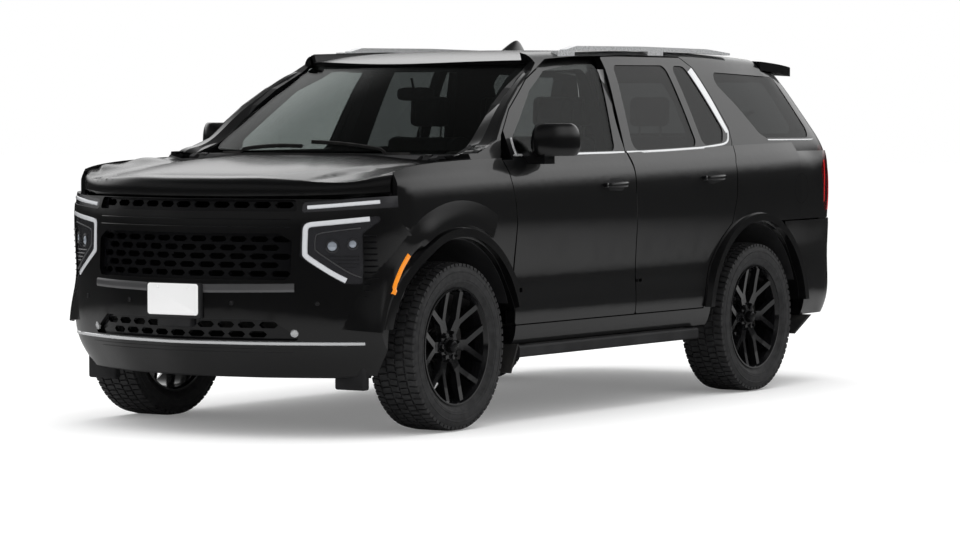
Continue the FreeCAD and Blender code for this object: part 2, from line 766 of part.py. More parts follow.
hood = hood_face().extrude(Vector(0, size.hood_depth, -size.hood_depth)).common(
    plan_prism(hood_plan(0, size.hood_depth), 0, above(0.6027), sky))
hood_space = plan_prism(hood_plan(gap), 0, above(hood_lip_shares[0]) - gap, sky)
hood_axis = (along(0.2214), above(0.6966))
hood_arm_shares = [(0.1981, 0.6732), (0.1981, 0.6836), (0.2102, 0.6857), (0.2195, 0.7012), (0.2233, 0.6924), (0.2149, 0.6732)]
hood_slot_shares = (0.2018, 0.2261)
hood_arms = []
hood_bores = []
hood_slots = []
hood_pins = []
for turn in (1, -1):
    middle = turn * size.hood_hinge_spread / 2
    reach = size.hood_arm_width / 2
    room = reach + size.hinge_room * 2
    hood_arms.append(side_prism(side_places(hood_arm_shares), 0, middle - reach, middle + reach))
    hood_arms.append(Part.makeCylinder(size.hood_eye_radius, reach * 2, Vector(middle - reach, *hood_axis),
                                       Vector(1, 0, 0)))
    hood_bores.append(Part.makeCylinder(size.hinge_pin_radius + size.pin_play, reach * 2, Vector(
        middle - reach, *hood_axis), Vector(1, 0, 0)))
    hood_slots.append(block((middle - room, middle + room), (along(hood_slot_shares[0]), along(hood_slot_shares[1])),
                            (0, sky)))
    long = room + size.hinge_pin_radius
    hood_pins.append(Part.makeCylinder(size.hinge_pin_radius, long * 2, Vector(middle - long, *hood_axis),
                                       Vector(1, 0, 0)))
hood = hood.fuse(hood_arms).cut(hood_bores)

# Fenders, ahead of the front doors.
fender_front_shares = [(0.0934, 0.6898), (0.0934, 0.5446), (0.1074, 0.5135), (0.1401, 0.4409)]
fender_rear_shares = [(0.2859, 0.2075), (0.2859, 0.6224), (0.2859, 0.7080), (0.2298, 0.7080)]
fender_wall = side_wall(0, size.fender_depth, size.frame_depth)
flare_out = half_width


def flare(axle_y, low_ahead, low_behind, room=0):
    """The raised lip round a wheel arch, between two heights, and grown by a room all round."""
    slope = size.flare_depth / 2
    inner = size.arch_radius - room
    rim = size.arch_radius + size.flare_width + room
    back = flare_out - size.flare_depth * 3 - room
    profile = [(back, inner), (flare_out, inner + slope / 2), (flare_out, rim - size.flare_depth), (back, rim)]
    face = Part.Face(Part.makePolygon([Vector(x, axle_y, axle_height + r) for x, r in profile + profile[:1]]))
    ring = face.revolve(Vector(0, axle_y, axle_height), Vector(1, 0, 0), full_turn)
    ahead = block((0, wide), (axle_y - rim, axle_y), (above(low_ahead), sky))
    behind = block((0, wide), (axle_y, axle_y + rim), (above(low_behind), sky))
    return ring.common(ahead.fuse(behind))


front_arch = arch_cut(front_axle_y, size.arch_radius, 0, wide)
rear_arch = arch_cut(rear_axle_y, size.arch_radius, 0, wide)
lead_edge_y = front_hinge[1] - size.door_hinge_setback
fender_outline = side_places(fender_front_shares + fender_rear_shares)
fender = fender_wall.common(side_prism(fender_outline, 0, 0, wide))
fender = fender.fuse(flare(front_axle_y, 0.2733, 0.2593))
fender = fender.cut([front_arch, front_lead_sweep, hood_space,
                     side_prism(grown(front_outline, gap), 0, 0, wide)])
fender = max(fender.Solids, key=lambda solid: solid.Volume)

# Body sides: rocker, pillars, roof rail and rear quarter round the door openings.
body_outline_shares = [(0.2541, 0.2075), (0.8595, 0.2075), (0.8595, 0.9284), (0.8574, 0.9284), (0.8574, 0.9855), (0.3924, 0.9855),
                       (0.3980, 0.9471), (0.3836, 0.9248), (0.3468, 0.8791), (0.3184, 0.8335), (0.2971, 0.7879),
                       (0.2784, 0.7422), (0.2560, 0.7220), (0.2308, 0.7012), (0.2149, 0.7002), (0.2298, 0.6535), (0.2541, 0.6224)]
front_hole_shares = [(0.3064, 0.2905), (0.3064, 0.7365), (0.3718, 0.8714), (0.4241, 0.9258), (0.5007, 0.9336), (0.4933, 0.7106),
                     (0.4933, 0.2905)]
rear_hole_shares = [(0.5288, 0.2905), (0.5288, 0.7106), (0.5362, 0.9336), (0.6577, 0.9336), (0.6913, 0.7365), (0.6839, 0.5446),
                    (0.6390, 0.4149), (0.6315, 0.2905)]
tail_corner_share = 0.7778
bumper_top_share = 0.4953
side_belt_share = 0.6976
gate_top_share = 0.9492
spoiler_place_shares = [0.8595, 0.8782, 0.8969, 0.9155, 0.9305]
spoiler_height_shares = [0.9730, 0.9699, 0.9658, 0.9611, 0.9570]
spoiler_half_shares = [0.7078, 0.7146, 0.7175, 0.7146, 0.7020]
tail_join_share = 0.8595
front_pocket = pocket_wall.common(side_prism(grown(front_outline, gap), 0, 0, wide))
rear_pocket = pocket_wall.common(side_prism(grown(rear_outline, gap), 0, 0, wide))
fender_pocket = side_wall(-size.seat_gap, size.fender_depth + size.join_step * 2,
                          size.frame_depth + size.join_step * 2).common(
    side_prism(side_places([(0.0934, 0.1556), (0.2859, 0.1556), (0.2859, 0.7080), (0.2298, 0.7080), (0.0934, 0.7080)]), 0, 0,
               wide))
# The windshield pillar wraps from the shut line round to the glass.
pillar_side_shares = [(0.2326, 0.6997), (0.2560, 0.7199), (0.2793, 0.7422), (0.2980, 0.7879), (0.3193, 0.8335), (0.3477, 0.8791),
                      (0.3849, 0.9248), (0.4083, 0.9471)]
pillar_glass_shares = [-0.05, 0, 0.1, 0.3, 0.5, 0.7, 0.9, 1]
pillar_apron_shares = [(0.7778, 0.2317, 0.7002), (0.7739, 0.2485, 0.7106)]
pillar_bulge_share = 0.12
pillar_root_share = 0.15
pillar_shoulder_share = 0.08


def pillar_section(step):
    """A closed cut of the pillar, from the side's skin to the edge of the glass and back inside."""
    y, z = side_places([pillar_side_shares[step]])[0]
    outer = Vector(side_width(y, z) - size.join_step, y, z)
    if step < len(pillar_apron_shares):
        x, place, height = pillar_apron_shares[step]
        inner = Vector(across(x), along(place), above(height))
    else:
        inner = shield_point(pillar_glass_shares[step], 1, size.seat_gap * 8)
    chord = inner - outer
    normal = Vector(0, -1, 1).normalize()
    crest = outer + chord / 2 + normal * chord.Length * pillar_bulge_share
    near = outer + chord * pillar_root_share + normal * chord.Length * pillar_shoulder_share
    depth = normal * -size.frame_depth
    points = [outer, near, crest, inner, inner + depth, outer + depth + chord * pillar_root_share]
    return Part.makePolygon(points + points[:1])


pillar = Part.makeLoft([pillar_section(step) for step in range(len(pillar_side_shares))], True)
side = body_wall.common(side_prism(side_places(body_outline_shares), 0, 0, wide)).fuse(pillar)
flare_room = flare(front_axle_y, 0.2733, 0.2593, size.join_step)
side = side.cut([front_pocket, rear_pocket, fender_pocket, flare_room, rear_arch, front_arch,
                 side_prism(side_places(front_hole_shares), door_round, 0, wide),
                 side_prism(side_places(rear_hole_shares), door_round, 0, wide)])
gate_shares = [(-0.7681, 0.4305), (0.7681, 0.4305), (0.7681, 0.7365), (0.6281, 0.9523), (-0.6281, 0.9523),
               (-0.7681, 0.7365)]
gate_core_shares = [(-0.7389, 0.4461), (0.7389, 0.4461), (0.7389, 0.7365), (0.5989, 0.9523), (0.5989, 0.9855),
                    (-0.5989, 0.9855), (-0.5989, 0.9523), (-0.7389, 0.7365)]
behind_join = (along(tail_join_share), tail_y + size.overrun)


def spoiler_form(reach):
    """The spoiler over the rear window, grown sideways and downwards by a reach."""
    rows = []
    for place, height, half in zip(spoiler_place_shares, spoiler_height_shares, spoiler_half_shares):
        rows.append([Vector((across(half) + reach) * column, along(place),
                            above(height - roof_crown_share * abs(column) ** 2.5)) for column in roof_column_shares])
    return smooth_face(rows).extrude(Vector(0, 0, -size.spoiler_depth - reach))


gate_room = front_prism(grown(front_places(gate_shares), size.gate_gap), 0, *behind_join)
tail_skin = tail_shell(size.join_step, size.tail_depth)
gate_skin = gate_shell(size.join_step, size.tail_depth)
corner_low = tail_skin.common(block((0, wide), behind_join, (above(bumper_top_share), above(side_belt_share))))
corner_high = gate_skin.common(block((0, wide), behind_join, (above(side_belt_share), above(gate_top_share))))
keep_low = block((0, wide), (rear_axle_y, tail_y), (0, above(bumper_top_share)))
inside_flare = arch_cut(rear_axle_y, arch_reach - gap, 0, wide)
side = side.cut(keep_low.cut(inside_flare)).fuse([corner_low, corner_high, flare(rear_axle_y, 0.2593, 0.2562)])
roof_side_room = block((0, across(roof_half_share)), (nose_y, tail_y), (above(side_belt_share), sky))
spoiler_space = spoiler_form(gap)
side = side.cut([rear_arch, front_lead_sweep, rear_lead_sweep, shield_space, roof_side_room, gate_room, spoiler_space,
                 side_prism(side_places(quarter_window_shares), door_round, 0, wide), rear_pocket, hood_space])
side = max(side.Solids, key=lambda solid: solid.Volume)
post_x = front_hinge[0] - size.door_depth - size.pillar_gap / 2
side = side.fuse(hinge_straps(front_hinge, post_x) + hinge_straps(rear_hinge, post_x))

# Liftgate with its spoiler and rear glass.
gate_window_shares = [(-0.6709, 0.7469), (0.6709, 0.7469), (0.5688, 0.9025), (-0.5688, 0.9025)]
spoiler_start_share = 0.8595
behind_roof = (along(spoiler_start_share), tail_y + size.overrun)
low_zone = block((-wide, wide), behind_roof, (0, above(side_belt_share)))
high_zone = block((-wide, wide), behind_roof, (above(side_belt_share), sky))
gate_tool = front_prism(front_places(gate_shares), 0, *behind_roof)
gate_rim = front_prism(grown(front_places(gate_shares), gap), 0, *behind_roof).cut(
    front_prism(front_places(gate_core_shares), 0, *behind_roof))
gate_low = tail_skin.common(gate_tool.common(low_zone)).cut(
    tail_shell(size.gate_lip, size.tail_depth).common(gate_rim.common(low_zone)))
gate_high = gate_skin.common(gate_tool.common(high_zone)).cut(
    gate_shell(size.gate_lip, size.tail_depth).common(gate_rim.common(high_zone)))
spoiler = spoiler_form(0)
gate_axis = (along(0.8608), above(0.9678))
gate_cuts = [front_prism(front_places(gate_window_shares), door_round, *behind_roof)]
lugs = []
for turn in (1, -1):
    middle = turn * size.gate_hinge_spread / 2
    reach = size.gate_lug_width / 2
    room = reach + size.hinge_room
    gate_cuts.append(block((middle - room, middle + room), (gate_axis[0] - size.overrun, gate_axis[0]
                     + size.gate_eye_radius + size.hinge_room), (above(side_belt_share), sky)))
    long = room + size.gate_eye_radius
    gate_cuts.append(Part.makeCylinder(size.gate_pin_radius + size.pin_play, long * 2, Vector(
        middle - long, *gate_axis), Vector(1, 0, 0)))
    pin = Part.makeCylinder(size.gate_pin_radius, (long - size.seat_gap) * 2, Vector(
        middle - long + size.seat_gap, *gate_axis), Vector(1, 0, 0))
    eye = Part.makeCylinder(size.gate_eye_radius, reach * 2, Vector(middle - reach, *gate_axis), Vector(1, 0, 0))
    strap = block((middle - reach, middle + reach), (gate_axis[0] - size.tail_depth, gate_axis[0]),
                  (gate_axis[1] - size.gate_eye_radius, gate_axis[1]))
    lugs.extend([pin, eye, strap])
liftgate = gate_low.fuse([gate_high, spoiler]).cut(gate_cuts)
liftgate = max(liftgate.Solids, key=lambda solid: solid.Volume)
roof = roof.fuse(lugs)
gate_glass = gate_shell(size.glass_inset, size.glass_thickness).common(
    front_prism(front_places(gate_window_shares), door_round, *behind_roof))

# Bumpers.
bumper_low_shares = [(-1.0695, 0.1556), (1.0695, 0.1556), (1.0695, 0.5991), (-1.0695, 0.5991)]
seam_gap_share = 0.0006
seam = side_places([(y - seam_gap_share, z) for y, z in fender_front_shares] + [(0.2242, 0.3112), (0.2242, 0.1037),
                                                                                (-0.0374, 0.1037), (-0.0374, 0.6898)])
grille_shares = [(-0.5056, 0.5135), (0.5056, 0.5135), (0.5668, 0.4948), (0.5668, 0.4149), (0.5445, 0.3978),
                 (-0.5445, 0.3978), (-0.5668, 0.4149), (-0.5668, 0.4948)]
strip_shares = [(-0.5688, 0.5975), (0.5688, 0.5975), (0.5834, 0.5679), (-0.5834, 0.5679)]
intake_shares = [(-0.4861, 0.2993), (0.4861, 0.2993), (0.6223, 0.2469), (-0.6223, 0.2469)]
lamp_shares = [(0.6077, 0.5394), (0.9140, 0.5576), (0.9140, 0.5446), (0.8546, 0.5135), (0.8546, 0.3880), (0.7876, 0.3880),
               (0.6009, 0.4564)]
upper_lamp_shares = [(0.6009, 0.5913), (0.9723, 0.6079), (0.9723, 0.5783), (0.6009, 0.5654)]


def flipped(shares):
    """An outline's mirror image across the middle plane."""
    return [(-x, z) for x, z in reversed(shares)]


nose_room = (nose_y - size.overrun, along(nose_side_shares[-1]))
nose_skin = nose_shell(0, size.fascia_depth)
flare_back = half_width - size.flare_depth * 3 - size.seat_gap
flare_room = arch_cut(front_axle_y, arch_reach + size.seat_gap, flare_back, wide)
nose_cuts = [arch_cut(front_axle_y, size.arch_radius, -wide, wide), flare_room, mirrored(flare_room)]
for shares in (grille_shares, strip_shares, intake_shares, lamp_shares, upper_lamp_shares, flipped(lamp_shares),
               flipped(upper_lamp_shares)):
    nose_cuts.append(front_prism(front_places(shares), size.rail_height / 2, *nose_room))
front_bumper = nose_skin.common(side_prism(seam, 0, -wide, wide)).common(
    front_prism(front_places(bumper_low_shares), 0, *nose_room)).cut(nose_cuts)
front_bumper = max(front_bumper.Solids, key=lambda solid: solid.Volume)
lamp_shell = nose_shell(size.glass_inset, size.fascia_depth - size.glass_inset)
lamps = []
for shares in (lamp_shares, upper_lamp_shares, flipped(lamp_shares), flipped(upper_lamp_shares)):
    lamps.append(lamp_shell.common(front_prism(front_places(shares), size.rail_height / 2, *nose_room)).common(
        side_prism(seam, 0, -wide, wide)))
grille_shell = nose_shell(size.fascia_depth / 2, size.fascia_depth / 2)
grille_bars = []
for shares in (grille_shares, strip_shares, intake_shares):
    grille_bars.append(grille_shell.common(front_prism(front_places(shares), size.rail_height / 2, *nose_room)))
mesh_width_share = 0.1021
mesh_height_share = 0.0213
mesh_bar_share = 0.16
mesh_skew_share = 0.14


def mesh_cell(x, z, width, height):
    """One flattened six-sided cell of the grille."""
    half = width * (1 - mesh_bar_share) / 2
    rise = height * (1 - mesh_bar_share * 2) / 2
    skew = width * mesh_skew_share
    corners = [(x - half, z), (x - half + skew, z - rise), (x + half - skew, z - rise), (x + half, z),
               (x + half - skew, z + rise), (x - half + skew, z + rise)]
    return front_prism(corners, 0, *nose_room)


def mesh(columns, low, high, rows, limit):
    """Cells in staggered rows between two heights, inside a half width."""
    cells = []
    width = across(mesh_width_share)
    height = (high - low) / rows
    for row in range(rows):
        z = low + height * (row + 1 / 2)
        for column in range(-columns, columns + 1):
            x = width * (column + (1 / 2 if row % 2 else 0))
            if abs(x) + width / 2 < limit:
                cells.append(mesh_cell(x, z, width, height))
    return cells


grille = grille_bars[0].cut(mesh(6, above(0.4020), above(0.5093), 5, across(0.5668)))
upper_grille = grille_bars[1].cut(mesh(6, above(0.5721), above(0.5949), 1, across(0.5737)))
intake = grille_bars[2].cut(mesh(6, above(0.2500), above(0.2967), 2, across(0.5250)))
rear_seam = side_places([(0.7607, 0.1556), (0.7607, 0.4953), (0.9342, 0.4953), (1.0277, 0.4953), (1.0277, 0.1556)])
rear_low_shares = [(-1.0695, 0.1556), (1.0695, 0.1556), (1.0695, 0.4917), (0.7778, 0.4917), (0.7778, 0.4253), (-0.7778, 0.4253),
                   (-0.7778, 0.4917), (-1.0695, 0.4917)]
rear_bumper = bumper_shell(size.tail_depth).common(
    front_prism(front_places(rear_low_shares), 0, rear_axle_y, tail_y + size.overrun))
rear_bumper = rear_bumper.cut(arch_cut(rear_axle_y, arch_reach + size.seat_gap, -wide, wide))
rear_bumper = max(rear_bumper.Solids, key=lambda solid: solid.Volume)

# Tail lamps, set into the rear corners.
tail_lamp_shares = [(0.9155, 0.6432), (0.9268, 0.7132), (1.0090, 0.7132), (1.0090, 0.5135), (0.9268, 0.5135)]
lamp_tool = side_prism(side_places(tail_lamp_shares), size.rail_height, across(tail_corner_share) * 0.5, wide)
tail_lamp = side.common(lamp_tool)
tail_lamp = max(tail_lamp.Solids, key=lambda solid: solid.Volume)
side = side.cut(tail_lamp)
side = max(side.Solids, key=lambda solid: solid.Volume)


class Maker:
    """Makes primitives whose sizes and places follow the sheet."""

    def __init__(self):
        self.count = 0

    def primitive(self, kind, sizes, place):
        """One primitive, with formulas for its sizes and its place."""
        self.count += 1
        feature = document.addObject("Part::" + kind, "form_%d" % self.count)
        for name, formula in sizes.items():
            feature.setExpression(name, formula)
        for axis, formula in zip("xyz", place):
            feature.setExpression("Placement.Base." + axis, formula)
        return feature

    def box(self, x, y, z, length, width, height):
        """A box from its low corner and its three sizes."""
        return self.primitive("Box", {"Length": length, "Width": width, "Height": height}, (x, y, z))

    def join(self, name, features):
        """Several forms as one."""
        joined = document.addObject("Part::MultiFuse", name)
        joined.Shapes = features
        return joined


maker = Maker()
# Formulas that several sub-parts share.
nose_formula = "(-dimensions.overall_length / 2)"
front_formula = "(dimensions.front_overhang - dimensions.overall_length / 2)"
rear_formula = "(dimensions.front_overhang + dimensions.wheelbase - dimensions.overall_length / 2)"
centre_formula = "dimensions.tyre_radius"
frame_low = "(dimensions.tyre_radius + dimensions.frame_rise)"
frame_top = "(dimensions.tyre_radius + dimensions.frame_rise + dimensions.frame_rail_height)"
floor_low = "(%s + dimensions.seat_gap)" % frame_top
floor_top = "(%s + dimensions.floor_thickness)" % floor_low
rail_edge = "(dimensions.frame_rail_spacing / 2 - dimensions.frame_rail_width / 2)"
member_shares = ("0.045", "0.18", "0.265", "0.36", "0.52", "0.66", "0.83", "0.93")


def ladder_frame():
    """Two long rails and the members across between them."""
    rail_length = "dimensions.overall_length - dimensions.frame_front - dimensions.frame_rear"
    start = "%s + dimensions.frame_front" % nose_formula
    forms = [maker.box(rail_edge, start, frame_low, "dimensions.frame_rail_width", rail_length,
                       "dimensions.frame_rail_height"),
             maker.box("-%s - dimensions.frame_rail_width" % rail_edge, start, frame_low,
                       "dimensions.frame_rail_width", rail_length, "dimensions.frame_rail_height")]
    for share in member_shares:
        forms.append(maker.box("-" + rail_edge, "%s + dimensions.overall_length * %s" % (nose_formula, share),
                               "%s + (dimensions.frame_rail_height - dimensions.member_height) / 2" % frame_low,
                               rail_edge + " * 2", "dimensions.frame_rail_width", "dimensions.member_height"))
    return maker.join("frame", forms)


frame = ladder_frame()
made.append(frame)
engine = maker.box("-dimensions.engine_width / 2", "%s - dimensions.engine_ahead" % front_formula,
                   "%s + (dimensions.frame_rail_height - dimensions.member_height) / 2 + dimensions.member_height"
                   % frame_low, "dimensions.engine_width", "dimensions.engine_length", "dimensions.engine_height")
engine.Label = "engine"
made.append(engine)
document.recompute()


def cylinder(radius, start, direction, length):
    """A cylinder from a point along a direction."""
    return Part.makeCylinder(radius, length, start, direction)


def tube(points, radius):
    """Straight round rods through points, with a ball at each turn."""
    forms = []
    for start, stop in zip(points, points[1:]):
        forms.append(cylinder(radius, start, stop - start, (stop - start).Length))
        forms.append(Part.makeSphere(radius, stop))
    return forms[0].fuse(forms[1:])


across_x = Vector(1, 0, 0)
along_y = Vector(0, 1, 0)
up_z = Vector(0, 0, 1)
rail_out = size.frame_rail_spacing / 2 + size.frame_rail_width / 2
rail_in = size.frame_rail_spacing / 2 - size.frame_rail_width / 2
rail_low = size.tyre_radius + size.frame_rise
rail_top = rail_low + size.frame_rail_height
member_low = rail_low + (size.frame_rail_height - size.member_height) / 2
floor_z = rail_top + size.seat_gap
floor_top_z = floor_z + size.floor_thickness
kingpin_x = wheel_x - size.kingpin_inset
post_bottom = axle_height - size.post_low
post_top = axle_height + size.post_high

# Front suspension: an upper and a lower arm on each side.
arms = []
for height, low in ((post_bottom - size.seat_gap - size.upper_eye, True), (post_top + size.seat_gap, False)):
    eye = cylinder(size.arm_eye_radius, Vector(kingpin_x, front_axle_y, height), up_z, size.upper_eye)
    centre = height + size.upper_eye / 2
    root_z = rail_low + size.arm_radius if low else rail_top - size.arm_radius
    legs = []
    for spread in (-1, 1):
        root = Vector(rail_out - size.arm_radius, front_axle_y + spread * size.post_low, root_z)
        tip = Vector(kingpin_x - size.arm_pad, front_axle_y, centre)
        reach = tip - root
        legs.append(cylinder(size.upper_eye / 2, root, reach, reach.Length - size.upper_eye / 2))
    pad = block((kingpin_x - size.arm_pad - size.upper_eye / 2, kingpin_x), (front_axle_y - size.upper_eye / 2,
                front_axle_y + size.upper_eye / 2), (height, height + size.upper_eye))
    arms.append(eye.fuse(legs + [pad]))
arm_pair = []
for arm in arms:
    arm_pair.append(max(arm.cut(frame.Shape).Solids, key=lambda solid: solid.Volume))
front_suspension = Part.makeCompound([solid for arm in arm_pair for solid in arm.Solids]
                                     + [solid for arm in arm_pair for solid in mirrored(arm).Solids])

# Knuckles: an upright post, a spindle and a brake caliper.
mount_x = wheel_x + size.mount_offset
disc_x = mount_x - size.hub_radius / 2 - size.disc_thickness
spindle_end = mount_x + size.spindle_reach


def caliper(axle_y):
    """The brake caliper that straddles the rear of a disc."""
    middle = disc_x + size.disc_thickness / 2
    start = middle - size.caliper_depth / 2
    ring = cylinder(size.caliper_radius, Vector(start, axle_y, axle_height), across_x, size.caliper_depth)
    ring = ring.cut(cylinder(size.disc_radius - size.hub_radius / 2, Vector(start, axle_y, axle_height), across_x,
                             size.caliper_depth))
    wedge = block((start, start + size.caliper_depth), (axle_y + size.hub_radius, axle_y + size.caliper_radius),
                  (axle_height - size.hub_radius, axle_height + size.hub_radius))
    slot = cylinder(size.disc_radius + size.disc_inset, Vector(disc_x - size.disc_inset, axle_y, axle_height),
                    across_x, size.disc_thickness + size.disc_inset * 2)
    return ring.common(wedge).cut(slot)


def knuckle():
    """The upright that carries a front wheel."""
    half = size.post_width / 2
    post = block((kingpin_x - half, kingpin_x + half), (front_axle_y - half, front_axle_y + half),
                 (post_bottom, post_top))
    spindle = cylinder(size.spindle_radius, Vector(kingpin_x, front_axle_y, axle_height), across_x,
                       spindle_end - kingpin_x)
    start = disc_x + size.disc_thickness / 2 - size.caliper_depth / 2
    bracket = block((kingpin_x - half, start), (front_axle_y, front_axle_y + size.disc_radius),
                    (axle_height - half, axle_height + half))
    clamp = block((start, start + size.disc_inset), (front_axle_y + size.disc_radius - size.hub_radius / 2,
                                                     front_axle_y + size.disc_radius),
                  (axle_height - half, axle_height + half))
    return post.fuse([spindle, bracket, clamp, caliper(front_axle_y)])


front_knuckle = knuckle()

# Rear axle: a tube with its differential, spindles and calipers.
rear_tube = cylinder(size.axle_tube_radius, Vector(-kingpin_x, rear_axle_y, axle_height), across_x, kingpin_x * 2)
differential = Part.makeSphere(size.differential_radius, Vector(0, rear_axle_y, axle_height)).common(
    block((-size.differential_radius, size.differential_radius),
          (rear_axle_y - size.differential_radius, rear_axle_y + size.differential_radius * 0.8),
          (axle_height - size.differential_radius, member_low)))
rear_parts = [differential]
for turn in (1, -1):
    spindle = cylinder(size.spindle_radius, Vector(kingpin_x * turn, rear_axle_y, axle_height), across_x * turn,
                       spindle_end - kingpin_x)
    start = disc_x + size.disc_thickness / 2 - size.caliper_depth / 2
    half = size.post_width / 2
    bracket = block((kingpin_x - half, start + size.disc_inset), (rear_axle_y, rear_axle_y + size.disc_radius),
                    (axle_height - half, axle_height + half))
    brake = bracket.fuse(caliper(rear_axle_y))
    seat = block((rail_in, rail_out), (rear_axle_y - size.axle_tube_radius, rear_axle_y + size.axle_tube_radius),
                 (axle_height, rail_low))
    if turn < 0:
        brake = mirrored(brake)
        seat = mirrored(seat)
    rear_parts.extend([spindle, brake, seat])
rear_axle = rear_tube.fuse(rear_parts)

# Wheels: a barrel, a dished disc of six forked spokes, a hub and a brake disc.
spoke_count = 6
dish_shares = [(0, 0), (0.24, 0), (0.42, 0.16), (0.72, 0.52), (0.98, 0.90)]


def ring_profile(pairs):
    """A solid turned about the wheel's axis from places across the car and radii."""
    points = [Vector(x, 0, r) for x, r in pairs]
    face = Part.Face(Part.makePolygon(points + points[:1]))
    return face.revolve(Vector(0, 0, 0), across_x, full_turn)


def wheel_form():
    """A left wheel about its own centre, face outwards."""
    half = size.rim_width / 2
    lip = size.rim_lip
    wall = size.barrel_wall
    rim = size.rim_radius
    drum = size.barrel_radius
    barrel = ring_profile([(-half, rim), (-half, rim - lip * 1.2), (lip * 2 - half, drum), (half - lip * 2.5, drum),
                           (half, rim - lip), (half, rim), (half - lip, rim), (half - lip * 2, drum + wall),
                           (lip * 2 - half, drum + wall), (lip - half, rim)])
    face_x = half - lip
    front = [(face_x - size.face_recess * (1 - rise), rim * reach) for reach, rise in dish_shares]
    back = [(x - size.spoke_depth, r) for x, r in reversed(front)]
    dish = ring_profile(front + back)
    bars = []
    long = drum + wall / 2
    for index in range(spoke_count):
        turn = full_turn / spoke_count * (index + 1 / 2)
        for spread in (-1, 1):
            offset = size.spoke_spread * spread
            start = abs(offset) / math.tan(math.radians(full_turn / spoke_count / 2))
            bar = block((-half, half), (start - size.spoke_width, long), (offset - size.spoke_width / 2,
                                                                         offset + size.spoke_width / 2))
            bar = bar.common(cylinder(long, Vector(-half, 0, 0), across_x, half * 2))
            bar.rotate(Vector(0, 0, 0), across_x, turn)
            bars.append(bar)
        stem = block((-half, half), (0, size.spoke_spread * 2 + size.spoke_width),
                     (-size.stem_width / 2, size.stem_width / 2))
        stem.rotate(Vector(0, 0, 0), across_x, turn + full_turn / spoke_count / 2)
        bars.append(stem)
    disc = bars[0].fuse(bars[1:] + [cylinder(size.hub_radius, Vector(-half, 0, 0), across_x, half * 2)]).common(dish)
    pad = size.mount_offset
    hub = cylinder(size.hub_radius, Vector(pad, 0, 0), across_x, face_x - size.face_recess - size.spoke_depth / 2 - pad)
    rotor_x = disc_x - wheel_x
    rotor = cylinder(size.disc_radius, Vector(rotor_x, 0, 0), across_x, size.disc_thickness)
    hat = cylinder(size.hub_radius, Vector(rotor_x, 0, 0), across_x, pad - rotor_x)
    whole = barrel.fuse([disc, hub, rotor, hat])
    bore = cylinder(size.spindle_radius + size.spindle_play, Vector(-half, 0, 0), across_x,
                    half + spindle_end - wheel_x + size.seat_gap)
    nuts = []
    for index in range(spoke_count):
        angle = 2 * math.pi * (index + 1 / 2) / spoke_count
        nuts.append(cylinder(size.rim_lip * 1.4, Vector(face_x - size.face_recess - size.rim_lip,
                                                        size.lug_circle * math.sin(angle),
                                                        size.lug_circle * math.cos(angle)), across_x, size.rim_lip * 2.2))
    return whole.cut(bore).fuse(nuts)


tyre_wall_shares = [(1, 0.42), (0.955, 0.76), (0.86, 0.925), (0.72, 0.972), (0.40, 0.992)]


def tyre_form():
    """A tyre about the wheel's centre, with rounded shoulders and bulged walls."""
    half = size.tyre_width / 2
    bead = size.rim_width / 2 - size.rim_lip
    rim = size.rim_radius
    top = size.tyre_radius
    wall = top - rim
    profile = [(-bead, rim)] + [(-half * x, rim + wall * r) for x, r in tyre_wall_shares] + [(0, top)]
    profile += [(half * x, rim + wall * r) for x, r in reversed(tyre_wall_shares)] + [(bead, rim)]
    curve = Part.BSplineCurve()
    curve.interpolate([Vector(x, 0, r) for x, r in profile])
    inner = Part.makeLine(Vector(bead, 0, rim), Vector(-bead, 0, rim))
    face = Part.Face(Part.Wire([curve.toShape(), inner]))
    return face.revolve(Vector(0, 0, 0), across_x, full_turn)


wheel = wheel_form()
tyre = tyre_form()
wheel_places = (("front_left", wheel_x, front_axle_y), ("front_right", -wheel_x, front_axle_y),
                ("rear_left", wheel_x, rear_axle_y), ("rear_right", -wheel_x, rear_axle_y))

# Floor with its firewall, open over the wheels.
wall_depth = size.door_depth + size.pillar_gap + size.pillar_depth + size.seat_gap
firewall_y = front_axle_y + size.firewall_place
floor_end_shares = [(0.7681, 0.8595), (0.7341, 0.9249), (0.6806, 0.9585)]
floor_stations = [firewall_y] + [along(share) for share in side_place_shares if firewall_y < along(share)
                                 < along(floor_end_shares[0][1])]
floor_half = [(lower_width(y, floor_top_z) - wall_depth, y) for y in floor_stations]
floor_half += [(across(x), along(y)) for x, y in floor_end_shares]
floor_plan = floor_half + [(-x, y) for x, y in reversed(floor_half)]
cowl_low_z = above(0.6743)
wall_half = lower_width(firewall_y, belt_height(firewall_y)) - wall_depth - size.glass_inset
floor = plan_prism(floor_plan, 0, floor_z, floor_top_z)
firewall = block((-wall_half, wall_half), (firewall_y, firewall_y + size.floor_thickness), (floor_z, cowl_low_z))
wheel_holes = []
for axle_y in (front_axle_y, rear_axle_y):
    wheel_holes.append(arch_cut(axle_y, size.arch_radius, size.liner_inner, wide))
    wheel_holes.append(arch_cut(axle_y, size.arch_radius, -wide, -size.liner_inner))
floor = floor.fuse(firewall).cut(wheel_holes)

# Arch liners: half drums over the wheels.
liners = []
liner_out = half_width - size.flare_depth * 2
for axle_y in (front_axle_y, rear_axle_y):
    outer = size.arch_radius - size.seat_gap
    shell = arch_cut(axle_y, outer, size.liner_inner, liner_out).cut(
        arch_cut(axle_y, outer - size.liner_thickness, size.liner_inner, liner_out))
    shell = shell.common(block((0, wide), (axle_y - outer, axle_y + outer), (rail_top, sky)))
    liners.append(shell)
liners = Part.makeCompound(liners + [mirrored(shell) for shell in liners])

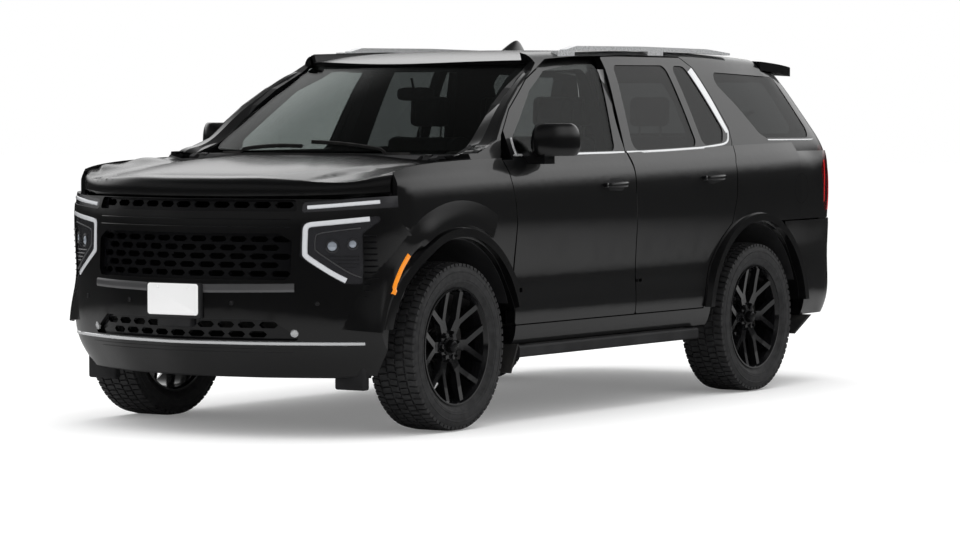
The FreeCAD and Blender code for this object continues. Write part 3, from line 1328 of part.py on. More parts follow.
# Cowl: the scuttle between the hood and the windshield.
cowl_shares = [(0.2074, 0.6743), (0.2102, 0.6924), (0.2177, 0.7018), (0.2653, 0.7044), (0.2747, 0.6743)]
cowl = side_prism(side_places(cowl_shares), 0, -wall_half, wall_half).cut([hood_space, shield_space] + hood_slots)
cowl = cowl.cut([side, mirrored(side)])
cowl = max(cowl.Solids, key=lambda solid: solid.Volume).fuse(hood_pins)

# Glass of the sides.
front_glass = pane(front_window_shares, door_round)
rear_glass = Part.makeCompound([pane(rear_window_shares, door_round), pane(pane_shares, door_round)])
quarter_glass = pane(quarter_window_shares, door_round)

# Roof rails on short feet.
rail_path_shares = [(0.4471, 0.9777), (0.4836, 0.9964), (0.6115, 0.9995), (0.7474, 0.9969), (0.8417, 0.9777)]
rail_x = across(0.6728)
rail_outline = side_places(rail_path_shares)
rail_low_line = [(y, z - size.rail_height) for y, z in reversed(rail_outline[1:-1])]
rail = side_prism(rail_outline + rail_low_line, size.rail_height / 2, rail_x - size.rail_width / 2,
                  rail_x + size.rail_width / 2)
feet = []
for share in (0.4634, 0.6390, 0.8184):
    y = along(share)
    feet.append(block((rail_x - size.rail_width / 2, rail_x + size.rail_width / 2), (y - size.rail_width * 2,
                y + size.rail_width * 2), (edge_height(y) - size.rail_height, edge_height(y) + size.rail_height / 2)))
upper_rows = [[upper_point(y, step, width) + Vector(size.seat_gap, 0, 0) for y in upper_stations]
              for step, width in zip(upper_step_shares, upper_width_shares)]
rail = rail.fuse(feet).cut(smooth_face(upper_rows).extrude(Vector(-size.frame_depth * 2, 0, 0)))
rail = max(rail.Solids, key=lambda solid: solid.Volume)

# Running boards under the doors, on brackets from the frame.
step_place_shares = (0.2919, 0.6353)
step_top = above(0.2033)
step_x = across(0.9723)
step = block((step_x - size.step_width, step_x), (along(step_place_shares[0]), along(step_place_shares[1])),
             (step_top - size.step_height, step_top))
step = step.makeFillet(size.step_height / 4, [edge for edge in step.Edges if abs(edge.CenterOfMass.x - step_x)
                                              < size.seat_gap and edge.Length > size.step_width])
brackets = []
for share in (0.3176, 0.4615, 0.5979):
    y = along(share)
    brackets.append(block((rail_out, step_x - size.step_width), (y, y + size.step_height),
                          (step_top - size.step_height, step_top - size.step_height / 2)))
    brackets.append(block((rail_out, rail_out + size.step_height / 2), (y, y + size.step_height),
                          (step_top - size.step_height, rail_low + size.member_height)))
step = step.fuse(brackets)

# Mud flaps behind the wheels.
front_flap_shares = [(0.2907, 0.2073), (0.2879, 0.2073), (0.2754, 0.1359), (0.2773, 0.1328)]
rear_flap_shares = [(0.8847, 0.2073), (0.8772, 0.2073), (0.8445, 0.1582), (0.8464, 0.1546)]
flaps = []
for shares in (front_flap_shares, rear_flap_shares):
    flaps.append(side_prism(side_places(shares), 0, wheel_x - size.tyre_width / 3, half_width - size.flare_depth))
flaps = Part.makeCompound(flaps + [mirrored(flap) for flap in flaps])

# Mirrors on the front doors.
mirror_y = along(0.3102)
mirror_low = above(0.6992)
mirror_x = upper_width(mirror_y, mirror_low) + size.mirror_round
mirror_plan_shares = [(0, 0.16), (0.25, 0), (0.6, 0.14), (0.88, 0.5), (1, 0.82), (0.88, 1), (0.45, 1), (0, 0.9)]
mirror_level_shares = [(0, 0.72), (0.1, 0.93), (0.3, 1), (0.65, 0.98), (0.88, 0.86), (1, 0.6)]


def mirror_section(level, share):
    """A level cut of a mirror's housing."""
    points = []
    for x, y in mirror_plan_shares:
        points.append(Vector(mirror_x + size.mirror_reach * (1 / 2 + (x - 1 / 2) * share),
                             mirror_y + size.mirror_length * (1 / 2 + (y - 1 / 2) * share),
                             mirror_low + size.mirror_height * level))
    curve = Part.BSplineCurve()
    curve.interpolate(points, True)
    return Part.Wire([curve.toShape()])


mirror = Part.makeLoft([mirror_section(level, share) for level, share in mirror_level_shares], True)
mirror_arm = block((mirror_x - size.mirror_round * 2, mirror_x + size.mirror_round * 2),
                   (mirror_y + size.mirror_round / 2, mirror_y + size.mirror_length / 2),
                   (mirror_low - size.mirror_round * 0.9, mirror_low + size.mirror_round / 2))
mirror = mirror.fuse(mirror_arm).cut([front_door, front_glass])
mirror = max(mirror.Solids, key=lambda solid: solid.Volume)

# Seats: a cushion, a leaning back and headrests on posts.


def seat_form(width, rest_count):
    """One seat or bench, its cushion's front edge on the origin's line."""
    half = width / 2
    base = block((-half * 0.8, half * 0.8), (size.back_depth / 2, size.cushion_length), (0, size.cushion_rise))
    cushion = Part.makeBox(width, size.cushion_length, size.cushion_height, Vector(-half, 0, size.cushion_rise))
    cushion = cushion.makeFillet(size.cushion_height / 3, cushion.Edges)
    low = size.cushion_rise + size.cushion_height * 0.6
    high = size.cushion_rise + size.back_height
    front = size.cushion_length - size.back_depth / 2
    corners = [(front, low), (front + size.back_depth, low), (front + size.back_depth * 0.75 + size.back_lean, high),
               (front + size.back_lean, high)]
    back = side_prism(corners, size.back_depth / 3, -half, half)
    seat = base.fuse([cushion, back])
    for index in range(rest_count):
        x = 0 if rest_count == 1 else (index - (rest_count - 1) / 2) * (width - size.headrest_width * 1.1) / (rest_count - 1)
        y = front + size.back_lean
        rest = Part.makeBox(size.headrest_width, size.headrest_depth, size.headrest_height,
                            Vector(x - size.headrest_width / 2, y, high + size.headrest_gap))
        rest = rest.makeFillet(size.headrest_depth / 3, rest.Edges)
        posts = []
        for spread in (-1, 1):
            posts.append(cylinder(size.headrest_post, Vector(x + spread * size.headrest_width / 4, y
                                  + size.headrest_depth / 2, high - size.headrest_gap), up_z, size.headrest_gap * 3))
        seat = seat.fuse([rest] + posts)
    return seat


def placed(shape, x, y, z):
    """A copy of a shape at a place."""
    copy = shape.copy()
    copy.translate(Vector(x, y, z))
    return copy


seat_floor = floor_top_z
front_seat = seat_form(size.seat_width, 1)
front_seats = Part.makeCompound([placed(front_seat, turn * size.seat_spacing / 2, along(0.4167), seat_floor)
                                 for turn in (1, -1)])
middle_seat = placed(seat_form(size.bench_width, 3), 0, along(0.5792), seat_floor)
rear_seat = placed(seat_form(size.bench_width * 0.85, 3), 0, along(0.7399), seat_floor)

# Dashboard, console and steering wheel.
dash_shares = [(0.2784, 0.5187), (0.2784, 0.6898), (0.3176, 0.6872), (0.3475, 0.6432), (0.3401, 0.5602), (0.3176, 0.5187)]
dash_half = wall_half - size.pillar_gap
dash = side_prism(side_places(dash_shares), size.mirror_round, -dash_half, dash_half)
console_half = (size.seat_spacing - size.seat_width) / 2 - size.pillar_gap
console = block((-console_half, console_half), (along(0.2990), along(0.5138)),
                (floor_top_z, floor_top_z + size.cushion_rise * 1.6))
dashboard = dash.fuse(console)
wheel_centre = Vector(size.steering_place, along(0.3737), above(0.6172))
column_way = Vector(0, -2, -1).normalize()
rim_ring = Part.makeTorus(size.wheel_rim_radius, size.wheel_grip_radius, wheel_centre, column_way)
column = cylinder(size.wheel_grip_radius * 1.5, wheel_centre, column_way, size.wheel_rim_radius * 1.6)
spokes = []
for angle in (0, full_turn / 2, full_turn * 3 / 4):
    spoke = Part.makeCylinder(size.wheel_grip_radius * 0.8, size.wheel_rim_radius, wheel_centre, across_x)
    spoke.rotate(wheel_centre, column_way, angle)
    spokes.append(spoke)
boss = cylinder(size.wheel_rim_radius * 0.35, wheel_centre, column_way, size.wheel_grip_radius * 3)
steering_wheel = rim_ring.fuse([column, boss] + spokes).cut(dashboard)
steering_wheel = max(steering_wheel.Solids, key=lambda solid: solid.Volume)

# Under the body: gearbox and shaft, exhaust, fuel tank and towing receiver.
gear_z = rail_top - size.gearbox_radius
engine_end = front_axle_y - size.engine_ahead + size.engine_length
gearbox = cylinder(size.gearbox_radius, Vector(0, engine_end, gear_z), along_y, size.gearbox_length)
shaft_start = Vector(0, engine_end + size.gearbox_length, gear_z)
shaft_end = Vector(0, rear_axle_y - size.differential_radius * 0.9, axle_height)
shaft = cylinder(size.shaft_radius, shaft_start, shaft_end - shaft_start, (shaft_end - shaft_start).Length)
members = []
for share in member_shares:
    y = nose_y + size.overall_length * float(share)
    members.append(block((-rail_in, rail_in), (y, y + size.frame_rail_width), (member_low, member_low
                                                                              + size.member_height)))
driveline = gearbox.fuse(shaft).cut(members + [rear_axle, floor])
driveline = max(driveline.Solids, key=lambda solid: solid.Volume)
exhaust_x = -size.engine_width / 2 + size.exhaust_radius
exhaust_z = member_low - size.exhaust_radius - size.seat_gap
exhaust_y = engine_end
muffler_y = rear_axle_y - size.differential_radius - size.muffler_length - size.tank_height
pipe = tube([Vector(exhaust_x, exhaust_y, exhaust_z), Vector(exhaust_x, muffler_y, exhaust_z)], size.exhaust_radius)
muffler = cylinder(size.muffler_radius, Vector(exhaust_x, muffler_y, member_low - size.muffler_radius - size.seat_gap),
                   along_y, size.muffler_length)
exhaust = pipe.fuse(muffler)
tank_x = size.shaft_radius * 2
fuel_tank = block((tank_x, tank_x + size.tank_width), (muffler_y - size.tank_length / 2, muffler_y
                  + size.tank_length / 2), (member_low - size.tank_height - size.seat_gap, member_low - size.seat_gap))
hitch_y = tail_y - size.tail_depth - size.overrun
hitch_z = member_low - size.hitch_tube / 2 - size.seat_gap
hitch = block((-size.hitch_tube / 2, size.hitch_tube / 2), (hitch_y - size.muffler_length / 2, tail_y - size.overrun),
              (hitch_z - size.hitch_tube / 2, hitch_z + size.hitch_tube / 2))
hitch = hitch.cut(block((-size.hitch_bore / 2, size.hitch_bore / 2), (hitch_y - size.muffler_length / 4, tail_y),
                        (hitch_z - size.hitch_bore / 2, hitch_z + size.hitch_bore / 2)))

# Every sub-part, under the name of its file.
lower_lamps = [lamps[0], lamps[2]]
upper_lamps = [lamps[1], lamps[3]]
hitch_room = size.hitch_tube / 2 + size.hinge_room
rear_bumper = rear_bumper.cut(block((-hitch_room, hitch_room), (hitch_y - size.hinge_room, tail_y + size.overrun),
                                    (hitch_z - hitch_room, hitch_z + hitch_room)))
shapes = {
    "front_suspension": front_suspension,
    "knuckle_left": front_knuckle,
    "knuckle_right": mirrored(front_knuckle),
    "rear_axle": rear_axle,
    "driveline": driveline,
    "exhaust": exhaust,
    "fuel_tank": fuel_tank,
    "tow_receiver": hitch,
    "floor": floor,
    "arch_liners": liners,
    "cowl": cowl,
    "body_side_left": side,
    "body_side_right": mirrored(side),
    "fenders": both_sides(fender),
    "roof": roof,
    "hood": hood,
    "windshield": windshield,
    "front_door_left": front_door,
    "front_door_right": mirrored(front_door),
    "front_glass_left": front_glass,
    "front_glass_right": mirrored(front_glass),
    "rear_door_left": rear_door,
    "rear_door_right": mirrored(rear_door),
    "rear_glass_left": rear_glass,
    "rear_glass_right": mirrored(rear_glass),
    "quarter_glass": both_sides(quarter_glass),
    "mirror_left": mirror,
    "mirror_right": mirrored(mirror),
    "liftgate": liftgate,
    "liftgate_glass": gate_glass,
    "front_bumper": front_bumper,
    "grille": Part.makeCompound(solids_of(grille) + solids_of(upper_grille) + solids_of(intake)),
    "headlamps": Part.makeCompound([solid for lamp in lower_lamps for solid in lamp.Solids]),
    "upper_lamps": Part.makeCompound([solid for lamp in upper_lamps for solid in lamp.Solids]),
    "rear_bumper": rear_bumper,
    "tail_lamps": both_sides(tail_lamp),
    "running_boards": both_sides(step),
    "roof_rails": both_sides(rail),
    "mud_flaps": flaps,
    "front_seats": front_seats,
    "middle_seat": middle_seat,
    "rear_seat": rear_seat,
    "dashboard": dashboard,
    "steering_wheel": steering_wheel,
}
for name, shape in shapes.items():
    keep(name, shape)
for name, x, y in wheel_places:
    turn = FreeCAD.Rotation(up_z, 0 if x > 0 else full_turn / 2)
    for kind, form in (("wheel", wheel), ("tyre", tyre)):
        feature = keep("%s_%s" % (kind, name), form)
        feature.Placement = FreeCAD.Placement(Vector(x, y, axle_height), turn)

document.recompute()
os.makedirs("parts", exist_ok=True)
for feature in document.Objects:
    if "Invalid" in feature.State or "Error" in feature.State:
        raise RuntimeError("%s did not recompute" % feature.Label)
for feature in made:
    if feature.Shape.isNull() or not feature.Shape.isValid():
        raise RuntimeError("%s has no valid shape" % feature.Label)
for feature in made:
    feature.Shape.exportStep("parts/%s.step" % feature.Label)
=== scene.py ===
import math

import bmesh
import bpy
from mathutils import Matrix, Vector


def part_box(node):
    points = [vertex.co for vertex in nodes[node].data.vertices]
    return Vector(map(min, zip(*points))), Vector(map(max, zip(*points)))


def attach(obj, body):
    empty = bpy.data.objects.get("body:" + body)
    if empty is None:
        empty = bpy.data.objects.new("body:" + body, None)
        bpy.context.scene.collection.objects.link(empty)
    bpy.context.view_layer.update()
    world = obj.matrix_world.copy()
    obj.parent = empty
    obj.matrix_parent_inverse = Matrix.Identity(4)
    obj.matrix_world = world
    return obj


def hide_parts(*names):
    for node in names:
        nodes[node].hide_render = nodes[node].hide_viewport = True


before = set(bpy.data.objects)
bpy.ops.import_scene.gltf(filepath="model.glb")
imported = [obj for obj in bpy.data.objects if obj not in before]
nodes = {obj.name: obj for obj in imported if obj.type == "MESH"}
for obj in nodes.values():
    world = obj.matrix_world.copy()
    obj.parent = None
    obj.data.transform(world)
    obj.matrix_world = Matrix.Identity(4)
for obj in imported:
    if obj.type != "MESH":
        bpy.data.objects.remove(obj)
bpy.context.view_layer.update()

# Camera: the photograph's long lens, low beside the nose on the vehicle's left.
camera_data = bpy.data.cameras.new("camera")
camera_data.lens = 137.3
camera_data.clip_end = 200
camera = bpy.data.objects.new("camera", camera_data)
bpy.context.scene.collection.objects.link(camera)
turn, rise = math.radians(32.76), math.radians(2.53)
sight = Vector((-math.sin(turn) * math.cos(rise), math.cos(turn) * math.cos(rise), -math.sin(rise)))
right = Vector((math.cos(turn), math.sin(turn), 0))
upward = right.cross(sight)
camera.matrix_world = Matrix.Translation((10.823, -16.752, 1.590)) @ Matrix(
    (right, upward, -sight)).transposed().to_4x4()
bpy.context.scene.camera = camera
bpy.context.scene.view_settings.view_transform = "Standard"


class Link:
    """One output in a material's tree. Arithmetic on it adds Math nodes."""

    def __init__(self, tree, socket=None):
        self.tree = tree
        self.socket = socket

    def add(self, kind, settings=None, inputs=None, output=0):
        """Adds a node, its settings first and then the values or links of its sockets."""
        node = self.tree.nodes.new(kind)
        for name, value in (settings or {}).items():
            if name == "stops":
                while len(node.color_ramp.elements) < len(value):
                    node.color_ramp.elements.new(0.5)
                for stop, (place, tone) in zip(node.color_ramp.elements, value):
                    stop.position = place
                    stop.color = (tone, tone, tone, 1)
            else:
                setattr(node, name, value)
        for name, value in (inputs or {}).items():
            if isinstance(value, Link):
                self.tree.links.new(value.socket, node.inputs[name])
            else:
                node.inputs[name].default_value = value
        return Link(self.tree, node.outputs[output])

    def maths(self, operation, first, second):
        return self.add("ShaderNodeMath", {"operation": operation}, {0: first, 1: second})

    def __add__(self, other):
        return self.maths("ADD", self, other)

    def __radd__(self, other):
        return self.maths("ADD", other, self)

    def __sub__(self, other):
        return self.maths("SUBTRACT", self, other)

    def __rsub__(self, other):
        return self.maths("SUBTRACT", other, self)

    def __mul__(self, other):
        return self.maths("MULTIPLY", self, other)

    def __rmul__(self, other):
        return self.maths("MULTIPLY", other, self)

    def clipped(self, low, high):
        """Nought below low and one above high, smooth between."""
        return self.add("ShaderNodeMapRange", {"interpolation_type": "SMOOTHSTEP"},
                        {"Value": self, "From Min": low, "From Max": high})

    def tint(self, dark, light):
        """A colour between two, by this value."""
        return self.add("ShaderNodeMix", {"data_type": "RGBA"}, {0: self, 6: (*dark, 1), 7: (*light, 1)}, 2)


# Studio: a pale floor that runs into a white background, under a wide soft overhead light.
bpy.ops.mesh.primitive_plane_add(size=160, location=(0, 0, -0.0005))
floor = bpy.context.object
floor.name = "studio_floor"
floor_material = bpy.data.materials.new("studio_floor")
floor_material.use_nodes = True
tree = floor_material.node_tree
tree.nodes.clear()
root = Link(tree)
ray = tree.nodes.new("ShaderNodeLightPath")
seen = Link(tree, ray.outputs["Is Camera Ray"])
mirrored = Link(tree, ray.outputs["Is Glossy Ray"])
spot = root.add("ShaderNodeTexCoord", None, None, 3)
far_off = root.add("ShaderNodeVectorMath", {"operation": "LENGTH"}, {0: spot}, 1).clipped(5.0, 13.0)
lit = root.add("ShaderNodeBsdfDiffuse", None, {"Color": (1 - mirrored) * 0.86 + mirrored * (0.30 - far_off * 0.285)})
glow = root.add("ShaderNodeEmission", None, {"Color": (1, 1, 1, 1), "Strength": seen * 0.17})
both = root.add("ShaderNodeAddShader", None, {0: lit, 1: glow})
tree.links.new(both.socket, tree.nodes.new("ShaderNodeOutputMaterial").inputs["Surface"])
floor.data.materials.append(floor_material)

world = bpy.data.worlds.new("studio")
bpy.context.scene.world = world
world.use_nodes = True
tree = world.node_tree
tree.nodes.clear()
root = Link(tree)
ray = tree.nodes.new("ShaderNodeLightPath")
glossy = Link(tree, ray.outputs["Is Glossy Ray"])
way = root.add("ShaderNodeTexCoord", None, None, 0)
height = root.add("ShaderNodeSeparateXYZ", None, {0: way}, 2)
behind = root.add("ShaderNodeSeparateXYZ", None, {0: way}, 1)
band = height.clipped(0.05, 0.26) * (1 - height.clipped(0.42, 0.72) * 0.90)
level = glossy * (band * (behind.clipped(-0.35, 0.45) * 0.88 + 0.12) + 0.012) + (1 - glossy) * 1.0
sky = root.add("ShaderNodeBackground", None, {"Color": (1, 1, 1, 1), "Strength": level})
tree.links.new(sky.socket, tree.nodes.new("ShaderNodeOutputWorld").inputs["Surface"])

overhead = bpy.data.lights.new("overhead", "AREA")
overhead.shape = "RECTANGLE"
overhead.size, overhead.size_y = 9, 13
overhead.energy = 430
lamp = bpy.data.objects.new("overhead", overhead)
lamp.location = (0, 0, 8)
lamp.visible_glossy = False
bpy.context.scene.collection.objects.link(lamp)

# Body panels: pressed steel and aluminium in gloss black under a deep clear coat.
# The panels are the frame's own solids. Only their finish is made here.


def new_material(name):
    """An empty material and a link to its tree."""
    material = bpy.data.materials.new(name)
    material.use_nodes = True
    material.node_tree.nodes.clear()
    return material, Link(material.node_tree)


def finish(root, **sockets):
    """Ends a material's tree in one Principled shader. A name's underscores stand for spaces."""
    inputs = {name.replace("_", " "): value for name, value in sockets.items()}
    shader = root.add("ShaderNodeBsdfPrincipled", None, inputs)
    output = root.tree.nodes.new("ShaderNodeOutputMaterial")
    root.tree.links.new(shader.socket, output.inputs["Surface"])


def place(root):
    """The object's own coordinates, in metres."""
    return root.add("ShaderNodeTexCoord", None, None, 3)


def noise(root, scale, detail=2.0, where=None):
    """Soft noise between nought and one."""
    return root.add("ShaderNodeTexNoise", None, {"Vector": where or place(root), "Scale": scale, "Detail": detail})


def bump(root, height, strength, distance):
    """A normal that follows a height."""
    return root.add("ShaderNodeBump", None, {"Height": height, "Strength": strength, "Distance": distance})


def dress(material, *names):
    """Gives CAD nodes or pieces a material in place of their own."""
    for name in names:
        piece = nodes.get(name) or bpy.data.objects[name]
        piece.data.materials.clear()
        piece.data.materials.append(material)



def paint(name, coat_roughness):
    """Gloss black paint with fine flake under a clear coat."""
    material, root = new_material(name)
    flake = noise(root, 900.0, 1.0)
    cloud = noise(root, 3.0, 3.0)
    finish(root, Base_Color=flake.clipped(0.45, 0.75).tint((0.0010, 0.0010, 0.0012), (0.0030, 0.0030, 0.0036)),
           Roughness=cloud * 0.06 + 0.34, Specular_IOR_Level=0.20, Coat_Weight=1.0, Coat_Roughness=coat_roughness)
    return material


black_paint = paint("black_paint", 0.015)
dress(black_paint, "body_side_left", "body_side_right", "fenders", "front_door_left", "front_door_right",
      "rear_door_left", "rear_door_right", "mirror_left", "mirror_right", "liftgate", "front_bumper", "rear_bumper")
level_paint = paint("level_paint", 0.16)
dress(level_paint, "hood", "roof")

# Glass: clear laminated windshield and front door glass, and dark privacy glass behind them.
# Each pane is the frame's own solid. Only its finish is made here.


def glass(name, tint, share, haze):
    """Thin glass: part clear and part a dark gloss sheet, by one share."""
    material, root = new_material(name)
    smear = noise(root, haze, 2.0)
    sheet = root.add("ShaderNodeBsdfPrincipled", None, {"Base Color": (0.002, 0.0022, 0.0022, 1), "IOR": 1.6,
                                                        "Roughness": smear * 0.02})
    clear = root.add("ShaderNodeBsdfTransparent", None, {"Color": (*tint, 1)})
    mixed = root.add("ShaderNodeMixShader", None, {0: smear * 0.02 + share, 1: clear, 2: sheet})
    root.tree.links.new(mixed.socket, root.tree.nodes.new("ShaderNodeOutputMaterial").inputs["Surface"])
    return material


clear_glass = glass("clear_glass", (0.80, 0.83, 0.82), 0.26, 3.0)
dress(clear_glass, "windshield", "front_glass_left", "front_glass_right")
tinted_glass = glass("tinted_glass", (0.62, 0.64, 0.64), 0.48, 3.0)
dress(tinted_glass, "rear_glass_left", "rear_glass_right", "quarter_glass", "liftgate_glass")

# Grille, cowl, boards and flaps: gloss black plastic, grained black plastic and rubber.
# All are the frame's own solids, moulded in the colour of the plastic.
gloss_black, root = new_material("gloss_black_plastic")
finish(root, Base_Color=(0.003, 0.003, 0.0035, 1), Roughness=noise(root, 8.0) * 0.05 + 0.12)
dress(gloss_black, "grille")
black_plastic, root = new_material("black_plastic")
grain = noise(root, 700.0, 3.0)
finish(root, Base_Color=noise(root, 5.0, 3.0).clipped(0.3, 0.7).tint((0.010, 0.010, 0.011), (0.020, 0.020, 0.021)),
       Roughness=grain * 0.25 + 0.42, Specular_IOR_Level=0.3, Normal=bump(root, grain, 0.25, 0.0006))
dress(black_plastic, "running_boards", "cowl", "dashboard", "fuel_tank", "arch_liners")
black_rubber, root = new_material("black_rubber")
finish(root, Base_Color=noise(root, 12.0, 3.0).clipped(0.3, 0.7).tint((0.010, 0.010, 0.010), (0.022, 0.021, 0.020)),
       Roughness=noise(root, 60.0) * 0.2 + 0.6)
dress(black_rubber, "mud_flaps")

# Chassis: black-coated steel, rough castings and a dull steel exhaust.
# The cabin floor above it is laid with carpet.
chassis_black, root = new_material("chassis_black")
finish(root, Base_Color=noise(root, 14.0, 5.0).clipped(0.4, 0.7).tint((0.012, 0.012, 0.012), (0.035, 0.032, 0.029)),
       Roughness=noise(root, 30.0) * 0.3 + 0.4, Metallic=0.3)
dress(chassis_black, "frame", "front_suspension", "rear_axle", "tow_receiver")
cast_block, root = new_material("cast_block")
finish(root, Base_Color=noise(root, 25.0, 5.0).clipped(0.3, 0.7).tint((0.06, 0.06, 0.06), (0.14, 0.135, 0.13)),
       Roughness=noise(root, 80.0) * 0.3 + 0.5, Metallic=0.8,
       Normal=bump(root, noise(root, 320.0, 3.0), 0.3, 0.001))
dress(cast_block, "engine", "driveline", "knuckle_left", "knuckle_right")
exhaust_steel, root = new_material("exhaust_steel")
finish(root, Base_Color=noise(root, 9.0, 4.0).clipped(0.3, 0.7).tint((0.20, 0.19, 0.18), (0.36, 0.33, 0.30)),
       Roughness=noise(root, 40.0) * 0.2 + 0.35, Metallic=1.0)
dress(exhaust_steel, "exhaust")
carpet, root = new_material("carpet")
finish(root, Base_Color=noise(root, 900.0, 2.0).clipped(0.3, 0.7).tint((0.010, 0.010, 0.011), (0.028, 0.028, 0.030)),
       Roughness=0.95, Normal=bump(root, noise(root, 1200.0), 0.6, 0.002))
dress(carpet, "floor")

# Wheels: cast alloy in gloss black under a thin clear coat.
# The tyres' rubber is shared with the treaded tyres further down.
wheel_black, root = new_material("black_wheel")
finish(root, Base_Color=(0.004, 0.004, 0.0045, 1), Roughness=noise(root, 40.0) * 0.05 + 0.13, Coat_Weight=0.6,
       Coat_Roughness=0.06)
dress(wheel_black, "wheel_front_left", "wheel_front_right", "wheel_rear_left", "wheel_rear_right")
tyre_rubber, root = new_material("tyre_rubber")
finish(root, Base_Color=noise(root, 30.0, 4.0).clipped(0.3, 0.7).tint((0.012, 0.012, 0.013), (0.024, 0.024, 0.025)),
       Roughness=noise(root, 90.0) * 0.2 + 0.5)
dress(tyre_rubber, "tyre_front_left", "tyre_front_right", "tyre_rear_left", "tyre_rear_right")

# Roof rails: satin bright aluminium, along both sides of the roof.
# The rails are the frame's own solids.
bright_metal, root = new_material("bright_metal")
finish(root, Base_Color=noise(root, 9.0).tint((0.72, 0.73, 0.74), (0.80, 0.81, 0.82)),
       Roughness=noise(root, 200.0) * 0.08 + 0.24, Metallic=0.55)
dress(bright_metal, "roof_rails")

# Lamps: dark housings behind clear covers in front, and dark red covers at the rear.
# Their light guides and lenses are laid on these solids further down.
lamp_glass, root = new_material("lamp_glass")
finish(root, Base_Color=(0.02, 0.02, 0.022, 1), Roughness=noise(root, 30.0) * 0.04 + 0.05, Coat_Weight=1.0,
       Coat_Roughness=0.01)
dress(lamp_glass, "headlamps", "upper_lamps")
red_lamp, root = new_material("red_lamp")
finish(root, Base_Color=(0.05, 0.002, 0.003, 1), Roughness=noise(root, 30.0) * 0.04 + 0.06, Coat_Weight=1.0,
       Coat_Roughness=0.01)
dress(red_lamp, "tail_lamps")

# Steering wheel and seats: black grained leather.
# The seats' own solids are replaced further down by padded covers of the same leather.
black_leather, root = new_material("black_leather")
pores = root.add("ShaderNodeTexVoronoi", None, {"Vector": place(root), "Scale": 320.0})
finish(root, Base_Color=noise(root, 7.0, 3.0).clipped(0.3, 0.7).tint((0.012, 0.011, 0.011), (0.026, 0.025, 0.024)),
       Roughness=noise(root, 50.0) * 0.15 + 0.42, Normal=bump(root, pores, 0.25, 0.0008))
dress(black_leather, "front_seats", "middle_seat", "rear_seat", "steering_wheel")

# Chrome belt mouldings: thin bright-anodised aluminium, clipped over the top edge of each door skin.
# Each curls round its window's lower corner, and a wide strip climbs the rear door's hind frame.


def selected(pieces):
    """Selects these pieces and no others, and makes the first of them active."""
    bpy.ops.object.select_all(action="DESELECT")
    for piece in pieces:
        piece.select_set(True)
    bpy.context.view_layer.objects.active = pieces[0]


def settle(piece, body, material, smooth=40):
    """Applies a finished piece's transform, shades it, and gives it its body and material."""
    selected([piece])
    bpy.ops.object.transform_apply(location=True, rotation=True, scale=True)
    bpy.ops.object.shade_smooth_by_angle(angle=math.radians(smooth))
    piece.data.materials.clear()
    piece.data.materials.append(material)
    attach(piece, body)
    return piece


def shaped(piece, kind, **settings):
    """Adds a modifier to a piece and applies it."""
    modifier = piece.modifiers.new(kind.lower(), kind)
    for name, value in settings.items():
        setattr(modifier, name, value)
    selected([piece])
    bpy.ops.object.modifier_apply(modifier=modifier.name)
    return piece


def opposite(piece, name, body):
    """The same piece made again for the other side of the vehicle."""
    selected([piece])
    bpy.ops.object.duplicate()
    twin = bpy.context.object
    twin.name = twin.data.name = name
    for vertex in twin.data.vertices:
        vertex.co.x = -vertex.co.x
    twin.data.flip_normals()
    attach(twin, body)
    return twin


def met(carriers, start, aim):
    """The first place where a line meets one of the carriers, and the way that place faces."""
    best = None
    for name in carriers:
        carrier = nodes.get(name) or bpy.data.objects[name]
        hit, spot, facing, _ = carrier.ray_cast(Vector(start), Vector(aim))
        if hit and (best is None or (spot - Vector(start)).length < (best[0] - Vector(start)).length):
            best = (spot, facing)
    return best


def curved(points, parts=8):
    """A smooth line through points in a plane."""
    line = []
    ends = [points[0]] + list(points) + [points[-1]]
    for before, first, second, after in zip(ends, ends[1:], ends[2:], ends[3:]):
        for step in range(parts):
            t = step / parts
            line.append([0.5 * (2 * b + (c - a) * t + (2 * a - 5 * b + 4 * c - d) * t * t
                                + (3 * b - a - 3 * c + d) * t ** 3)
                         for a, b, c, d in zip(before, first, second, after)])
    line.append(list(points[-1]))
    return line


AIMS = {"left": lambda a, b: ((1.6, a, b), (-1, 0, 0)), "front": lambda a, b: ((a, -3.2, b), (0, 1, 0)),
        "rear": lambda a, b: ((a, 3.2, b), (0, -1, 0)), "top": lambda a, b: ((a, b, 3.0), (0, 0, -1))}


def moulding(name, carriers, route, width, height, side="left", sink=0.001, lanes=6, crown=True):
    """A strip laid on its carriers along a route. The route is in Y and Z on a side, and in X and Z in front."""
    spots = [met(carriers, *AIMS[side](first, second)) for first, second in route]
    spots = [found for found in spots if found]
    if len(spots) < 3:
        raise ValueError(name + " finds nothing to lie on, near " + str(route[0]))
    bpy.ops.object.select_all(action="DESELECT")
    bpy.ops.mesh.primitive_grid_add(x_subdivisions=len(spots) - 1, y_subdivisions=lanes, size=1)
    piece = bpy.context.object
    piece.name = piece.data.name = name
    for vertex in piece.data.vertices:
        step = round((vertex.co.x + 0.5) * (len(spots) - 1))
        lane = 2 * vertex.co.y
        spot, facing = spots[step]
        before = (spot - spots[max(step - 1, 0)][0]).normalized() if step else None
        after = (spots[step + 1][0] - spot).normalized() if step < len(spots) - 1 else None
        before, after = before or after, after or before
        across = (facing.cross(before).normalized() + facing.cross(after).normalized()).normalized()
        spread = 1 / max(across.dot(facing.cross(after).normalized()), 0.4)
        local = width(step / (len(spots) - 1)) if callable(width) else width
        rise = height * (math.sqrt(max(1 - lane ** 4, 0)) if crown else float(abs(lane) < 0.99)) - sink
        vertex.co = spot + across * lane * local / 2 * spread + facing * rise
    shaped(piece, "SOLIDIFY", thickness=height + sink, offset=-1)
    return piece


